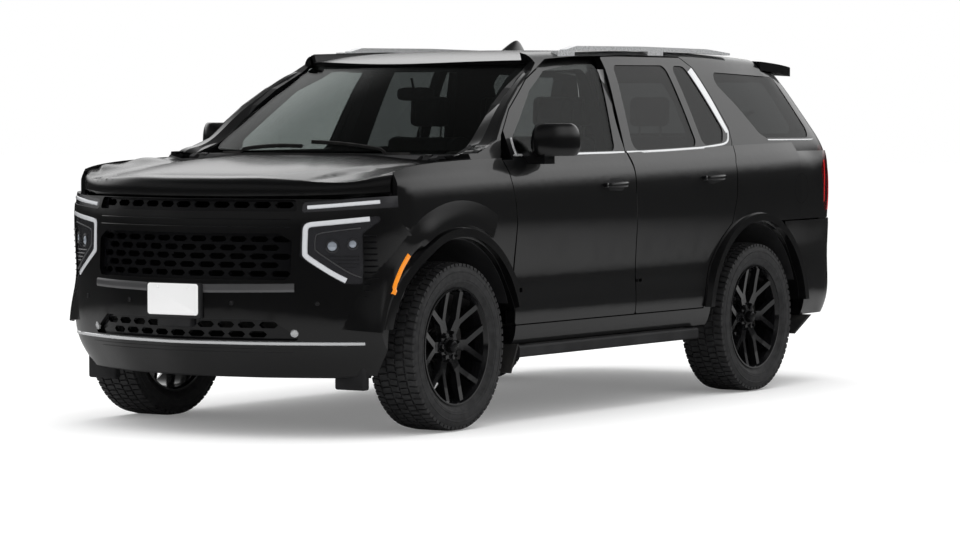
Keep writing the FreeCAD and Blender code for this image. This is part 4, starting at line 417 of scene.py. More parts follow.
def pair(piece, name, body, material, smooth=40):
    """Settles a piece of the left side and makes its opposite. Names take a side's word."""
    piece.name = piece.data.name = name + "_left"
    settle(piece, body.replace("*", "left"), material, smooth)
    opposite(piece, name + "_right", body.replace("*", "right"))


chrome, root = new_material("bright_trim")
finish(root, Base_Color=noise(root, 5.0).tint((0.82, 0.83, 0.84), (0.87, 0.88, 0.89)), Metallic=0.72,
       Roughness=noise(root, 90.0, 3.0) * 0.06 + 0.07, Normal=bump(root, noise(root, 14.0), 0.04, 0.001))
front_belt = curved([(-1.050, 1.440), (-1.052, 1.385), (-1.040, 1.357), (-1.010, 1.3525), (-0.500, 1.3525),
                     (0.022, 1.3555)])
rear_belt = curved([(0.048, 1.3560), (0.400, 1.3610), (0.700, 1.3685), (0.870, 1.3735), (0.985, 1.3800),
                    (1.110, 1.3900), (1.170, 1.4080), (1.197, 1.4420), (1.207, 1.4620)])
strip = curved([(1.2010, 1.4580), (1.1700, 1.5250), (1.1180, 1.6400), (1.0370, 1.8050)])
pair(moulding("belt", ["front_door_left"], front_belt, 0.016, 0.005), "front_belt", "front_door_*",
     chrome)
pair(moulding("belt", ["rear_door_left"], rear_belt, 0.016, 0.005), "rear_belt", "rear_door_*", chrome)
pair(moulding("strip", ["rear_door_left"], strip, lambda t: 0.040 + 0.034 * t, 0.005), "pillar_strip",
     "rear_door_*", chrome)
quarter_line = curved([(1.640, 1.4105), (1.900, 1.4095), (2.200, 1.4090), (2.224, 1.4150)])
pair(moulding("line", ["body_side_left"], quarter_line, 0.010, 0.004), "quarter_moulding", "body",
     chrome)

# Radiator and its seals: a finned black core between side ducts, close behind the grille.
# It stands on the frame's front cross-member and shuts the nose's openings.


def ringed(name, rings, caps=True, closed=True):
    """A mesh through successive rings of as many points each."""
    count = len(rings[0])
    points = [tuple(point) for ring in rings for point in ring]
    faces = []
    for step in range(len(rings) - 1):
        for index in range(count if closed else count - 1):
            after = (index + 1) % count
            faces.append((step * count + index, step * count + after, (step + 1) * count + after,
                          (step + 1) * count + index))
    if caps:
        faces.append(tuple(range(count)))
        faces.append(tuple((len(rings) - 1) * count + index for index in range(count)))
    mesh = bpy.data.meshes.new(name)
    mesh.from_pydata(points, [], faces)
    shape = bmesh.new()
    shape.from_mesh(mesh)
    bmesh.ops.remove_doubles(shape, verts=shape.verts, dist=0.00002)
    bmesh.ops.recalc_face_normals(shape, faces=shape.faces)
    shape.to_mesh(mesh)
    shape.free()
    piece = bpy.data.objects.new(name, mesh)
    bpy.context.scene.collection.objects.link(piece)
    return piece


def turned(name, profile, centre, axis, parts=40, start=0.0):
    """A closed profile of radius and depth, turned about an axis through a centre."""
    axis = Vector(axis).normalized()
    side = axis.orthogonal().normalized()
    other = axis.cross(side)
    rings = []
    for step in range(parts + 1):
        angle = start + math.tau * step / parts
        way = side * math.cos(angle) + other * math.sin(angle)
        rings.append([Vector(centre) + way * radius + axis * depth for radius, depth in profile])
    return ringed(name, rings, caps=False)


def joined(name, parts):
    """One piece of several."""
    selected(parts)
    bpy.ops.object.join()
    parts[0].name = parts[0].data.name = name
    return parts[0]


def bevelled(name, size, centre, radius, segments=2):
    """A block with rounded edges."""
    bpy.ops.object.select_all(action="DESELECT")
    bpy.ops.mesh.primitive_cube_add(size=1, location=centre)
    piece = bpy.context.object
    piece.name = piece.data.name = name
    piece.scale = size
    bpy.ops.object.transform_apply(location=True, rotation=True, scale=True)
    return shaped(piece, "BEVEL", width=radius, segments=segments)


# The same matte black is laid further down as painted shade in the fuel flap's shut line.
core_and_gap_shade_black, root = new_material("radiator_and_gap_shade_black")
fins = root.add("ShaderNodeTexWave", {"bands_direction": "X"}, {"Vector": place(root), "Scale": 80.0})
finish(root, Base_Color=noise(root, 20.0).tint((0.0015, 0.0015, 0.0015), (0.004, 0.004, 0.004)),
       Roughness=0.85, Specular_IOR_Level=0.1, Normal=bump(root, fins, 0.3, 0.002))
core = bevelled("core", (1.06, 0.045, 0.36), (0, -2.33, 0.90), 0.006)
tanks = [bevelled("tank", (0.05, 0.06, 0.38), (side * 0.545, -2.33, 0.90), 0.012) for side in (1, -1)]
duct = bevelled("duct", (1.10, 0.012, 0.60), (0, -2.24, 0.84), 0.003)
low_core = bevelled("low_core", (0.98, 0.03, 0.16), (0, -2.36, 0.53), 0.006)
settle(joined("radiator", [core, low_core, duct] + tanks), "body", core_and_gap_shade_black)

# Headlamp insides: a bracket-shaped light guide, a projector in a ribbed black bowl, and a thin upper guide.
# Moulded polycarbonate held in each housing, so every guide lies just proud of the dark cover.
satin_grey, root = new_material("satin_grey")
finish(root, Base_Color=noise(root, 6.0).tint((0.16, 0.16, 0.165), (0.20, 0.20, 0.205)), Metallic=0.8,
       Roughness=noise(root, 120.0) * 0.08 + 0.30)
guide_white, root = new_material("light_guide")
finish(root, Base_Color=noise(root, 40.0).tint((0.52, 0.53, 0.55), (0.62, 0.63, 0.65)), Roughness=0.16, Coat_Weight=1.0,
       Emission_Color=(0.9, 0.93, 1.0, 1), Emission_Strength=0.04)
arm = curved([(0.900, 1.062), (0.800, 1.050), (0.690, 1.038), (0.655, 1.032), (0.640, 1.015), (0.638, 0.975),
              (0.638, 0.905), (0.646, 0.880), (0.700, 0.838), (0.760, 0.796), (0.812, 0.764)])
pair(moulding("guide", ["headlamps"], arm, 0.028, 0.008, side="front"), "day_lamp", "body", guide_white)
inner_arm = curved([(0.868, 1.018), (0.760, 1.002), (0.700, 0.990), (0.684, 0.975), (0.682, 0.925), (0.690, 0.905),
                    (0.745, 0.862), (0.825, 0.802), (0.868, 0.780)])
pair(moulding("inner", ["headlamps"], inner_arm, 0.007, 0.004, side="front", lanes=4), "lamp_outline", "body",
     satin_grey)
upper = curved([(0.640, 1.115), (0.760, 1.125), (0.930, 1.142)])
pair(moulding("upper", ["upper_lamps"], upper, 0.020, 0.005, side="front"), "upper_guide", "body",
     guide_white)
lens_clear, root = new_material("projector_glass")
finish(root, Base_Color=(0.42, 0.46, 0.52, 1), Roughness=noise(root, 50.0) * 0.03 + 0.02, Coat_Weight=1.0,
       Metallic=0.55)
bowl_dark, root = new_material("lamp_bowl")
finish(root, Base_Color=noise(root, 50.0).tint((0.05, 0.05, 0.053), (0.08, 0.08, 0.085)),
       Roughness=noise(root, 80.0) * 0.1 + 0.2, Metallic=0.8)


def standing(carriers, first, second, side="front"):
    """The place on the carriers that faces a route's point, and its outward way."""
    return met(carriers, *AIMS[side](first, second))


eyes = []
bowls = []
for x, z, radius in ((0.755, 0.930, 0.024), (0.838, 0.940, 0.019)):
    spot, facing = standing(["headlamps"], x, z)
    profile = [(0.0005, -0.004), (0.0005, radius * 0.30), (radius * 0.45, radius * 0.25),
               (radius * 0.80, radius * 0.10), (radius, -0.001), (radius, -0.004)]
    eyes.append(turned("eye", profile, spot, facing, 32))
    rim = [(radius + 0.001, -0.004), (radius + 0.001, 0.003), (radius + 0.004, 0.005), (radius + 0.010, 0.003),
           (radius + 0.011, -0.004)]
    bowls.append(turned("bowl", rim, spot, facing, 32))
pair(joined("eyes", eyes), "projector", "body", lens_clear)
pair(joined("bowls", bowls), "projector_rim", "body", bowl_dark)
ribs = []
for z in (0.882, 0.864, 0.846, 0.828):
    reach = 0.862
    start = 0.735 + (0.880 - z) * 1.28
    if start < reach - 0.03:
        route = [(start + (reach - start) * t / 6, z) for t in range(7)]
        ribs.append(moulding("rib", ["headlamps"], route, 0.008, 0.004, side="front", lanes=2))
pair(joined("ribs", ribs), "lamp_ribs", "body", bowl_dark)

# Lower nose: a satin grey bar under the grille, a bright strip above the chin, and ribbed end vents.
# Painted and plated plastic, each clipped into its recess in the bumper.


def level(start, pitch, count, height):
    """A route at one height, by even steps."""
    return [(start + pitch * step, height) for step in range(count)]


front_skin = ["front_bumper", "grille"]
bar = [(-0.600 + 0.0375 * step, 0.7205 + 0.010 * abs(step - 16) / 16) for step in range(33)]
settle(moulding("grey_bar", front_skin, bar, 0.044, 0.006, side="front"), "body", satin_grey)
settle(moulding("chin_strip", front_skin, level(-0.880, 0.044, 41, 0.4615), 0.018, 0.006, side="front"), "body",
       chrome)
vent_ribs = []
for step in range(13):
    vent_ribs.append(moulding("rib", ["front_bumper"], level(0.882, 0.0075, 7, 0.630 + step * 0.029), 0.011, 0.006,
                              side="front", lanes=2))
pair(joined("vent", vent_ribs), "end_vent", "body", gloss_black)
slots = []
for z, reach in ((0.436, 0.66), (0.418, 0.58)):
    route = [(-reach + reach * step / 16, z) for step in range(33)]
    slots.append(moulding("slot", ["front_bumper"], route, 0.005, 0.003, side="front", lanes=2))
settle(joined("chin_slots", slots), "body", black_plastic)
grooves = []
for z in (1.022, 1.058):
    grooves.append(moulding("groove", ["front_bumper"], level(-0.575, 0.0359, 33, z), 0.006, 0.0035, side="front",
                            lanes=2))
settle(joined("brow_grooves", grooves), "body", gloss_black)

# Fog lamps: small round reflectors in bright rims at the ends of the lower intake.
# Parking sensors: flush round discs, each in a thin ring.
fog = []
sensors = []
for x, z, radius, group in ((0.600, 0.512, 0.019, fog), (0.310, 0.655, 0.011, sensors),
                            (0.700, 0.655, 0.011, sensors)):
    spot, facing = standing(front_skin, x, z)
    profile = [(0.0004, -0.006), (0.0004, 0.002), (radius * 0.62, 0.003), (radius * 0.72, 0.0005),
               (radius * 0.86, 0.0050), (radius, 0.0035), (radius, -0.006)]
    group.append(turned("disc", profile, spot, facing, 28))
fog_bright, root = new_material("fog_reflector")
finish(root, Base_Color=(0.78, 0.79, 0.80, 1), Roughness=noise(root, 300.0) * 0.15 + 0.08, Metallic=0.9,
       Emission_Color=(1, 1, 1, 1), Emission_Strength=0.05)
pair(fog[0], "fog_lamp", "body", fog_bright)
sensor_grey, root = new_material("sensor_black")
finish(root, Base_Color=noise(root, 90.0).tint((0.010, 0.010, 0.011), (0.016, 0.016, 0.017)), Roughness=0.35)
pair(joined("sensor", sensors), "front_sensors", "body", sensor_grey)

# Number plate: a blank pressed sheet on a black bracket, held by two screws near its top edge.
# The bracket is moulded plastic and reaches down onto the bumper.
plate_white, root = new_material("plate_white")
finish(root, Base_Color=noise(root, 4.0).tint((0.80, 0.80, 0.80), (0.86, 0.86, 0.86)),
       Roughness=noise(root, 60.0) * 0.1 + 0.3)


def blank_plate(name, centre, facing):
    """A pressed blank plate with a raised rim and two screws."""
    half_wide, half_high, rim = 0.1525, 0.076, 0.008
    depths = [(0, 0.0), (0, 0.0022), (rim * 0.4, 0.0034), (rim, 0.0034), (rim * 1.35, 0.0018)]
    rings = []
    for inset, depth in depths:
        ring = []
        for corner_x, corner_z, start in ((1, 1, 0), (-1, 1, 90), (-1, -1, 180), (1, -1, 270)):
            for turn in range(5):
                angle = math.radians(start + 22.5 * turn)
                radius = 0.014 - inset * 0.6
                ring.append(Vector((corner_x * (half_wide - 0.014 - inset * 0.4) + radius * math.cos(angle),
                                    depth * facing, corner_z * (half_high - 0.014 - inset * 0.4)
                                    + radius * math.sin(angle))) + Vector(centre))
        rings.append(ring)
    plate = ringed(name, rings)
    screws = []
    for x in (-0.09, 0.09):
        profile = [(0.0004, 0.001), (0.0004, 0.0062), (0.004, 0.0056), (0.0062, 0.0034), (0.0062, 0.001)]
        screws.append(turned("screw", profile, Vector(centre) + Vector((x, 0, half_high - 0.018)), (0, facing, 0), 16))
    return joined(name, [plate] + screws)


settle(blank_plate("front_plate", (0, -2.6785, 0.668), -1), "body", plate_white)
bracket = bevelled("bracket", (0.325, 0.030, 0.172), (0, -2.664, 0.662), 0.008, 3)
tongue = bevelled("tongue", (0.20, 0.05, 0.060), (0, -2.650, 0.565), 0.008, 3)
settle(joined("plate_bracket", [bracket, tongue]), "body", black_plastic)

# Chin: a black air dam set back under the bumper, and a deflector block ahead of each front wheel.
# Both are moulded rubbery plastic, screwed up into the bumper's lower lip.
rings = []
for step in range(41):
    x = -0.84 + 0.042 * step
    y = standing(["front_bumper"], x, 0.345)[0].y + 0.055
    rings.append([Vector((x, y, 0.385)), Vector((x, y - 0.006, 0.330)), Vector((x, y + 0.010, 0.292)),
                  Vector((x, y + 0.022, 0.288)), Vector((x, y + 0.030, 0.310)), Vector((x, y + 0.020, 0.385))])
settle(ringed("air_dam", rings), "body", black_plastic)
block_piece = bevelled("block", (0.175, 0.050, 0.150), (0.760, -2.255, 0.305), 0.012, 3)
pair(block_piece, "wheel_deflector", "body", black_plastic)

# Door handles: painted pull bars over a dished recess, each with a lock cap at its front end.
# The bars are moulded plastic on a lever behind the door skin.


def rounded(corners, power):
    """Points round the origin, from a circle at a power of one to a squarer outline at a smaller one."""
    angles = [math.tau * corner / corners for corner in range(corners)]
    return [(math.copysign(abs(math.cos(angle)) ** power, math.cos(angle)),
             math.copysign(abs(math.sin(angle)) ** power, math.sin(angle))) for angle in angles]


for panel, y, z in (("front_door", -0.183, 1.189), ("rear_door", 0.873, 1.210)):
    spot, facing = standing([panel + "_left"], y, z, "left")
    rings = []
    for step in range(25):
        t = step / 24
        along_bar = (t - 0.5) * 0.205
        arch = math.sin(math.pi * t) ** 0.5
        thick = 0.0065 + 0.0035 * math.sin(math.pi * t)
        tall = 0.0115 + 0.0035 * math.sin(math.pi * t)
        middle = spot + Vector((0.006 + 0.030 * arch, along_bar, 0.004 * (t - 0.5)))
        rings.append([middle + Vector((thick * across, 0, tall * up)) for across, up in rounded(12, 0.7)])
    bar_piece = ringed("bar", rings)
    dish = moulding("dish", [panel + "_left"], level(y - 0.085, 0.010, 18, z),
                    lambda t: 0.018 + 0.052 * math.sqrt(max(1 - (2 * t - 1) ** 4, 0)), 0.0012, sink=0.0008)
    cap_spot = spot + Vector((0.004, -0.118, -0.001))
    cap = turned("cap", [(0.0004, -0.008), (0.0004, 0.019), (0.008, 0.0185), (0.012, 0.015), (0.013, -0.008)], cap_spot,
                 facing, 24)
    pair(joined("handle", [bar_piece, cap]), panel + "_handle", panel + "_*", black_paint)
    pair(dish, panel + "_dish", panel + "_*", black_plastic, 30)

# Side markers: the ribbed amber plastic of the lens on each front flare.
# The lens itself is laid further down, once the flare's fairing is there to carry it.
amber, root = new_material("amber_lens")
ridges = root.add("ShaderNodeTexWave", {"bands_direction": "Z"}, {"Vector": place(root), "Scale": 60.0})
finish(root, Base_Color=ridges.tint((0.80, 0.20, 0.005), (0.95, 0.34, 0.02)), Roughness=noise(root, 80.0) * 0.1 + 0.12,
       Coat_Weight=1.0, Emission_Color=(1.0, 0.28, 0.02, 1), Emission_Strength=0.12)

# Mirrors: a silvered glass with softened corners, let into the rear of each case.
# It is a thin plate that stands just proud of the case and turns with the door.
low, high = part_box("mirror_left")
silver_glass, root = new_material("mirror_glass")
finish(root, Base_Color=(0.82, 0.84, 0.86, 1), Roughness=noise(root, 3.0) * 0.01 + 0.01, Metallic=1.0)
centre = (low + high) / 2
reach_x = high.x - low.x
glass_rings = []
for inset, depth in ((0.0, -0.004), (0.0, 0.0015), (0.004, 0.0025)):
    half_wide, half_high = reach_x * 0.30 - inset, (high.z - low.z) * 0.30 - inset
    glass_rings.append([Vector((centre.x + reach_x * 0.06 + half_wide * across, high.y + depth - 0.0005,
                                centre.z + 0.01 + half_high * up)) for across, up in rounded(28, 0.6)])
pair(ringed("glass", glass_rings), "mirror_glass", "front_door_*", silver_glass)

# Fuel flap: a round door in the left quarter, seen only by its shut line.
# The line is a thin matte black strip laid on the panel, painted shade that stands in for the shadow in the flap's gap.
flap_gap_shade_line = [(1.930 + 0.095 * math.cos(math.tau * step / 48), 1.130 + 0.085 * math.sin(math.tau * step / 48))
             for step in range(49)]
# Painted shade: a matte black strip in place of the shadow in the flap's gap.
settle(moulding("flap", ["body_side_left"], flap_gap_shade_line, 0.0045, 0.0008, lanes=2, sink=0.0006), "body",
       core_and_gap_shade_black)

# Roof gear: a blank shark-fin aerial, moulded and painted black.
# It is bolted to the roof skin on the centre line.
aerial = []
base_spot, _ = standing(["roof"], 0, 0.40, "top")
for step in range(13):
    t = step / 12
    half = 0.036 * (1 - t) ** 0.8 + 0.003
    length = 0.098 * (1 - t) ** 0.75 + 0.012
    aerial.append([base_spot + Vector((half * across, 0.040 * t + length * along, -0.004 + 0.060 * t))
                   for across, along in rounded(20, 1)])
settle(ringed("aerial", aerial), "body", black_paint)

# Fenders: the frame's own panels, with the front end of each arch's lip drawn in to meet the bumper's corner.
# A swelling fairing eases the lip into the panel ahead of it.


def smooth_step(value):
    """Nought to one, smooth at both ends."""
    value = min(max(value, 0.0), 1.0)
    return value * value * (3 - 2 * value)


front_axle, axle_height = -1.676, 0.417
half_width, drawn_in = 1.0285, 0.070


def lip_reach(y):
    """How far out an arch's lip stands at a place along the vehicle."""
    return half_width - drawn_in * smooth_step((-1.93 - y) / 0.34)


panels = nodes["fenders"].copy()
panels.data = nodes["fenders"].data.copy()
panels.name = panels.data.name = "fender_panels"
bpy.context.scene.collection.objects.link(panels)
for vertex in panels.data.vertices:
    vertex.co.x = math.copysign(min(abs(vertex.co.x), lip_reach(vertex.co.y)), vertex.co.x)
settle(panels, "body", black_paint, 30)
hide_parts("fenders")


def fairing(name, node_names, axle_y, degrees):
    """A swelling sheet from a flare's lip out to the skin, between two angles round an axle."""
    rings = []
    steps = 36
    for step in range(steps + 1):
        angle = math.radians(degrees[0] + (degrees[1] - degrees[0]) * step / steps)
        ring = []
        for lane in range(9):
            t = lane / 8
            radius = 0.600 + 0.150 * t
            y, z = axle_y - radius * math.cos(angle), axle_height + radius * math.sin(angle)
            found = standing(node_names, y, z, "left")
            skin = found[0].x if found else 0.94
            ring.append((y, z, skin, t))
        rings.append(ring)
    sheet = []
    for ring in rings:
        top = lip_reach(ring[1][0]) - 0.004
        edge = max(top - ring[2][2], 0.0)
        outer = [Vector((max(skin, min(skin + edge * (1 - smooth_step(t)) ** 1.3, top)) + 0.0006 - 0.004 * t ** 6,
                         y, z)) for y, z, skin, t in ring]
        inner = [point - Vector((0.012, 0, 0)) for point in reversed(outer)]
        sheet.append(outer + inner)
    return ringed(name, sheet)


bpy.context.view_layer.update()
pair(fairing("fairing", ["front_bumper", "fender_panels"], front_axle, (9, 118)), "front_fairing", "body",
     black_paint, 30)
bpy.context.view_layer.update()
marker_route = curved([(-2.104, 0.882), (-2.140, 0.830), (-2.170, 0.776), (-2.192, 0.726), (-2.202, 0.696)], 4)
pair(moulding("marker", ["front_fairing_left", "fender_panels", "front_bumper"], marker_route, 0.030, 0.006, lanes=8),
     "side_marker", "body", amber)

# Hood: the frame's own panel with its skin evened out, and two soft creases pressed in.
# The skin is moved onto a smooth surface fitted to it. The creases bound the raised middle.
low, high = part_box("hood")
panel = nodes["hood"].copy()
panel.data = nodes["hood"].data.copy()
panel.name = panel.data.name = "hood_panel"
bpy.context.scene.collection.objects.link(panel)


def powers(x, y):
    """The terms of the surface that the hood's skin is fitted to."""
    u, v = x * x, (y - low.y) / (high.y - low.y)
    return [1, v, v * v, v ** 3, v ** 4, u, u * v, u * v * v, u * u, u * u * v, u ** 3]


tops = []
for row in range(26):
    for column in range(33):
        x, y = -0.80 + 0.05 * column, low.y + 0.10 + (high.y - low.y - 0.16) * row / 25
        found = standing(["hood"], x, y, "top")
        if found and found[1].z > 0.8:
            tops.append((x, y, found[0].z))
matrix = [powers(x, y) for x, y, _ in tops]
count = len(matrix[0])
normal = [[sum(line[a] * line[b] for line in matrix) for b in range(count)] for a in range(count)]
target = [sum(line[a] * z for line, (_, _, z) in zip(matrix, tops)) for a in range(count)]
for a in range(count):
    pivot = max(range(a, count), key=lambda b: abs(normal[b][a]))
    normal[a], normal[pivot] = normal[pivot], normal[a]
    target[a], target[pivot] = target[pivot], target[a]
    for b in range(a + 1, count):
        factor = normal[b][a] / normal[a][a]
        normal[b] = [second - factor * first for first, second in zip(normal[a], normal[b])]
        target[b] -= factor * target[a]
terms = [0.0] * count
for a in reversed(range(count)):
    terms[a] = (target[a] - sum(normal[a][b] * terms[b] for b in range(a + 1, count))) / normal[a][a]
for vertex in panel.data.vertices:
    x, y, z = vertex.co
    even = sum(term * power for term, power in zip(terms, powers(x, y)))
    if abs(z - even) < 0.012 and y > low.y + 0.09:
        ease = smooth_step((y - low.y - 0.09) / 0.08) * smooth_step((high.y - y - 0.02) / 0.05)
        share = min(1.0, ease) * smooth_step((0.012 - abs(z - even)) / 0.004)
        ridge = 0.60 + 0.10 * (y - low.y)
        dome = -0.010 * smooth_step((abs(x) - ridge + 0.03) / 0.05) * smooth_step((y - low.y - 0.10) / 0.25)
        vertex.co.z = z + (even - z + dome * smooth_step((high.y - y) / 0.20)) * share
settle(panel, "hood", level_paint, 35)
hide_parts("hood")

# Tyres: road tread of blocks in five rows round each tyre, and ribbed bands on the sidewalls.
# Moulded rubber. The blocks stand on a carcass made from the frame's own tyre.


def tyre(name, node, body):
    """A treaded tyre in place of a plain one."""
    low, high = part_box(node)
    centre = (low + high) / 2
    radius, half = (high.z - low.z) / 2, (high.x - low.x) / 2
    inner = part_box("wheel_" + node[5:])
    rim = (inner[1].z - inner[0].z) / 2
    outline = [(rim - 0.006, half * 0.80), (rim + 0.012, half * 0.86), (rim + 0.030, half * 0.97),
               (radius * 0.84, half), (radius * 0.915, half * 0.965), (radius * 0.950, half * 0.915),
               (radius * 0.972, half * 0.84), (radius * 0.978, half * 0.60), (radius * 0.980, 0.0)]
    profile = outline + [(r, -x) for r, x in reversed(outline[:-1])]
    carcass = turned(name, profile, centre, (1, 0, 0), 72)
    blocks = 72
    shape = bmesh.new()
    rows = [(-0.93, -0.60, 0.10), (-0.54, -0.21, -0.07), (-0.16, 0.16, 0.05), (0.21, 0.54, -0.07), (0.60, 0.93, 0.10)]
    for index in range(blocks):
        start = math.tau * index / blocks
        for row, (first, second, slant) in enumerate(rows):
            offset = start + (0.4 if row % 2 else 0.0) * math.tau / blocks
            width = math.tau / blocks * (0.78 if index % 3 else 0.70)
            corners = []
            for deep in (0.972, 1.0):
                for x_share, angle in ((first, offset), (second, offset + slant * 0.16),
                                       (second, offset + slant * 0.16 + width), (first, offset + width)):
                    shrink = 1.0 if deep < 1 else 0.94
                    x = half * ((first + second) / 2 + (x_share - (first + second) / 2) * shrink)
                    middle = offset + width / 2 + slant * 0.08
                    turn_by = middle + (angle - middle) * shrink
                    drop = 0.035 * max(abs(x / half) - 0.55, 0) ** 1.5 * 2
                    reach = radius * (deep - drop - (0.01 if deep < 1 else 0.0))
                    corners.append(shape.verts.new(centre + Vector((x, reach * math.cos(turn_by),
                                                                    reach * math.sin(turn_by)))))
            bottom, top = corners[:4], corners[4:]
            shape.faces.new(top)
            for step in range(4):
                after = (step + 1) % 4
                shape.faces.new((bottom[step], bottom[after], top[after], top[step]))
            shape.faces.new(list(reversed(bottom)))
    bmesh.ops.recalc_face_normals(shape, faces=shape.faces)
    mesh = bpy.data.meshes.new("tread")
    shape.to_mesh(mesh)
    shape.free()
    tread = bpy.data.objects.new("tread", mesh)
    bpy.context.scene.collection.objects.link(tread)
    bands = []
    for side in (1, -1):
        for r in (0.80, 0.885):
            profile = [(radius * r - 0.004, side * half * 0.985), (radius * r - 0.002, side * (half * 0.995)),
                       (radius * r + 0.002, side * (half * 0.995)), (radius * r + 0.004, side * half * 0.975)]
            bands.append(turned("band", profile, centre, (1, 0, 0), 72))
    whole = joined(name, [carcass, tread] + bands)
    settle(whole, body, tyre_rubber, 30)
    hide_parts(node)


CORNERS = [(end, hand) for end in ("front", "rear") for hand in ("left", "right")]
for end, hand in CORNERS:
    tyre("road_tyre_%s_%s" % (end, hand), "tyre_%s_%s" % (end, hand), "%s_wheel_%s" % (end, hand))

# Wheel fittings: six dark plated nuts round a blank hub cap that covers the spindle's end.
# Brakes: a vented cast disc on each hub, and a two-piston caliper bolted behind it.
nut_dark, root = new_material("nut_black")
finish(root, Base_Color=(0.02, 0.02, 0.021, 1), Roughness=noise(root, 300.0) * 0.1 + 0.22, Metallic=0.9)
disc_steel, root = new_material("disc_steel")
brushed = root.add("ShaderNodeTexNoise", None, {"Vector": place(root), "Scale": 160.0, "Detail": 3.0})
finish(root, Base_Color=brushed.tint((0.045, 0.044, 0.043), (0.085, 0.083, 0.080)), Roughness=brushed * 0.15 + 0.30,
       Metallic=1.0)
caliper_grey, root = new_material("caliper_grey")
finish(root, Base_Color=noise(root, 40.0).tint((0.05, 0.05, 0.05), (0.09, 0.09, 0.088)),
       Roughness=noise(root, 120.0) * 0.2 + 0.45, Metallic=0.6)
nut_circle, beside_bore = 0.0698, 0.035
for end, hand in CORNERS:
    turn_to = 1 if hand == "left" else -1
    wheel = "wheel_%s_%s" % (end, hand)
    low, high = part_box("wheel_%s_%s" % (end, hand))
    hub = (low + high) / 2
    outward = Vector((turn_to, 0, 0))
    outside = Vector((turn_to * 1.6, hub.y, hub.z))
    face = nodes[wheel].ray_cast(outside + Vector((0, 0, beside_bore)), -outward)[1]
    face.z = hub.z
    nuts = []
    for step in range(6):
        angle = math.tau * (step + 0.25) / 6
        way = Vector((0, math.cos(angle), math.sin(angle)))
        found = nodes[wheel].ray_cast(outside + way * nut_circle, -outward)
        spot = found[1] if found[0] else face + way * nut_circle
        nuts.append(turned("nut", [(0.0004, 0.0), (0.0004, 0.020), (0.006, 0.019), (0.009, 0.014), (0.0105, -0.004)],
                           spot, outward, 6, math.radians(15)))
    cap = turned("cap", [(0.0004, 0.0325), (0.0004, 0.0375), (0.020, 0.0368), (0.028, 0.0345), (0.032, 0.029),
                         (0.034, 0.0075), (0.046, 0.0055), (0.047, -0.002), (0.026, -0.002), (0.025, 0.0325)],
                 face, outward, 36)
    settle(joined("wheel_nuts_%s_%s" % (end, hand), nuts + [cap]), "%s_wheel_%s" % (end, hand), nut_dark)
    back = hub.x - turn_to * 0.030
    disc_at = Vector((back, hub.y, hub.z))
    disc = turned("disc", [(0.075, -0.016), (0.075, 0.030), (0.088, 0.030), (0.092, 0.016), (0.172, 0.016),
                           (0.174, 0.014), (0.174, 0.004), (0.165, 0.003), (0.165, -0.003), (0.174, -0.004),
                           (0.174, -0.014), (0.172, -0.016)], disc_at, outward, 64)
    settle(disc, "%s_wheel_%s" % (end, hand), disc_steel)
    disc.name = disc.data.name = "brake_disc_%s_%s" % (end, hand)
    behind = 1 if end == "front" else -1
    caliper = []
    for step in range(15):
        angle = math.radians(-28 + 4 * step)
        way = Vector((0, behind * math.cos(angle), math.sin(angle)))
        swell = 1 - abs(step / 7 - 1) ** 4 * 0.25
        section = []
        for x, reach in ((-0.050, 0.108), (-0.052, 0.150), (-0.044, 0.186), (0.030, 0.188), (0.046, 0.178),
                         (0.048, 0.118), (0.020, 0.114), (0.020, 0.177), (-0.020, 0.177), (-0.020, 0.108)):
            section.append(disc_at + outward * x + way * (0.145 + (reach - 0.145) * swell))
        caliper.append(section)
    upright = "upright_" + hand if end == "front" else "body"
    settle(ringed("caliper_%s_%s" % (end, hand), caliper), upright, caliper_grey)

# Seats: leather covers over foam. Each cushion and back has raised side bolsters and sewn cross channels.
# The pads are blown up by a cloth simulation, and stand on plastic valances and steel headrest posts.


def soft_pad(name, size, voxel, cap, places=1, bolster=0.018, channels=(-0.30, 0.05, 0.40)):
    """A sewn pad lying flat about the origin, its face upward, with as many sitting places across."""
    wide, long, thick = size
    pad = bevelled(name, (wide - 0.016, long - 0.016, thick - 0.030), (0, 0, 0), thick * 0.34, 5)
    shaped(pad, "REMESH", mode="VOXEL", voxel_size=voxel)
    cloth = pad.modifiers.new("cloth", "CLOTH")
    cloth.settings.quality = 4
    cloth.settings.use_pressure = True
    cloth.settings.uniform_pressure_force = 4
    cloth.settings.effector_weights.gravity = 0
    for moment in range(1, 21):
        bpy.context.scene.frame_set(moment)
    blown = pad.evaluated_get(bpy.context.evaluated_depsgraph_get()).to_mesh()
    moved = [vertex.co.copy() for vertex in blown.vertices]
    pad.evaluated_get(bpy.context.evaluated_depsgraph_get()).to_mesh_clear()
    pad.modifiers.remove(cloth)
    bpy.context.scene.frame_set(1)
    for vertex, target in zip(pad.data.vertices, moved):
        way = target - vertex.co
        vertex.co += way * min(1.0, cap / max(way.length, 0.000001))
    place_wide = wide / places
    for vertex in pad.data.vertices:
        x, y, z = vertex.co
        if z < 0:
            continue
        across_place = ((x + wide / 2) % place_wide) / place_wide * 2 - 1
        if places > 1 and abs(x) > wide / 2 - 0.02:
            across_place = math.copysign(1.0, x)
        share = abs(across_place)
        lift = bolster * smooth_step((share - 0.50) / 0.30) * (1 - smooth_step((share - 0.86) / 0.14) * 0.6)
        dent = 0.007 * math.exp(-((share - 0.56) / 0.022) ** 2)
        if share < 0.56:
            for channel in channels:
                dent = max(dent, 0.007 * math.exp(-((y / long * 2 - channel) / 0.020) ** 2))
        edge = smooth_step((1 - abs(y / long * 2)) / 0.20)
        vertex.co.z = z + (lift * edge - dent) * smooth_step(z / (thick * 0.35))
    return pad


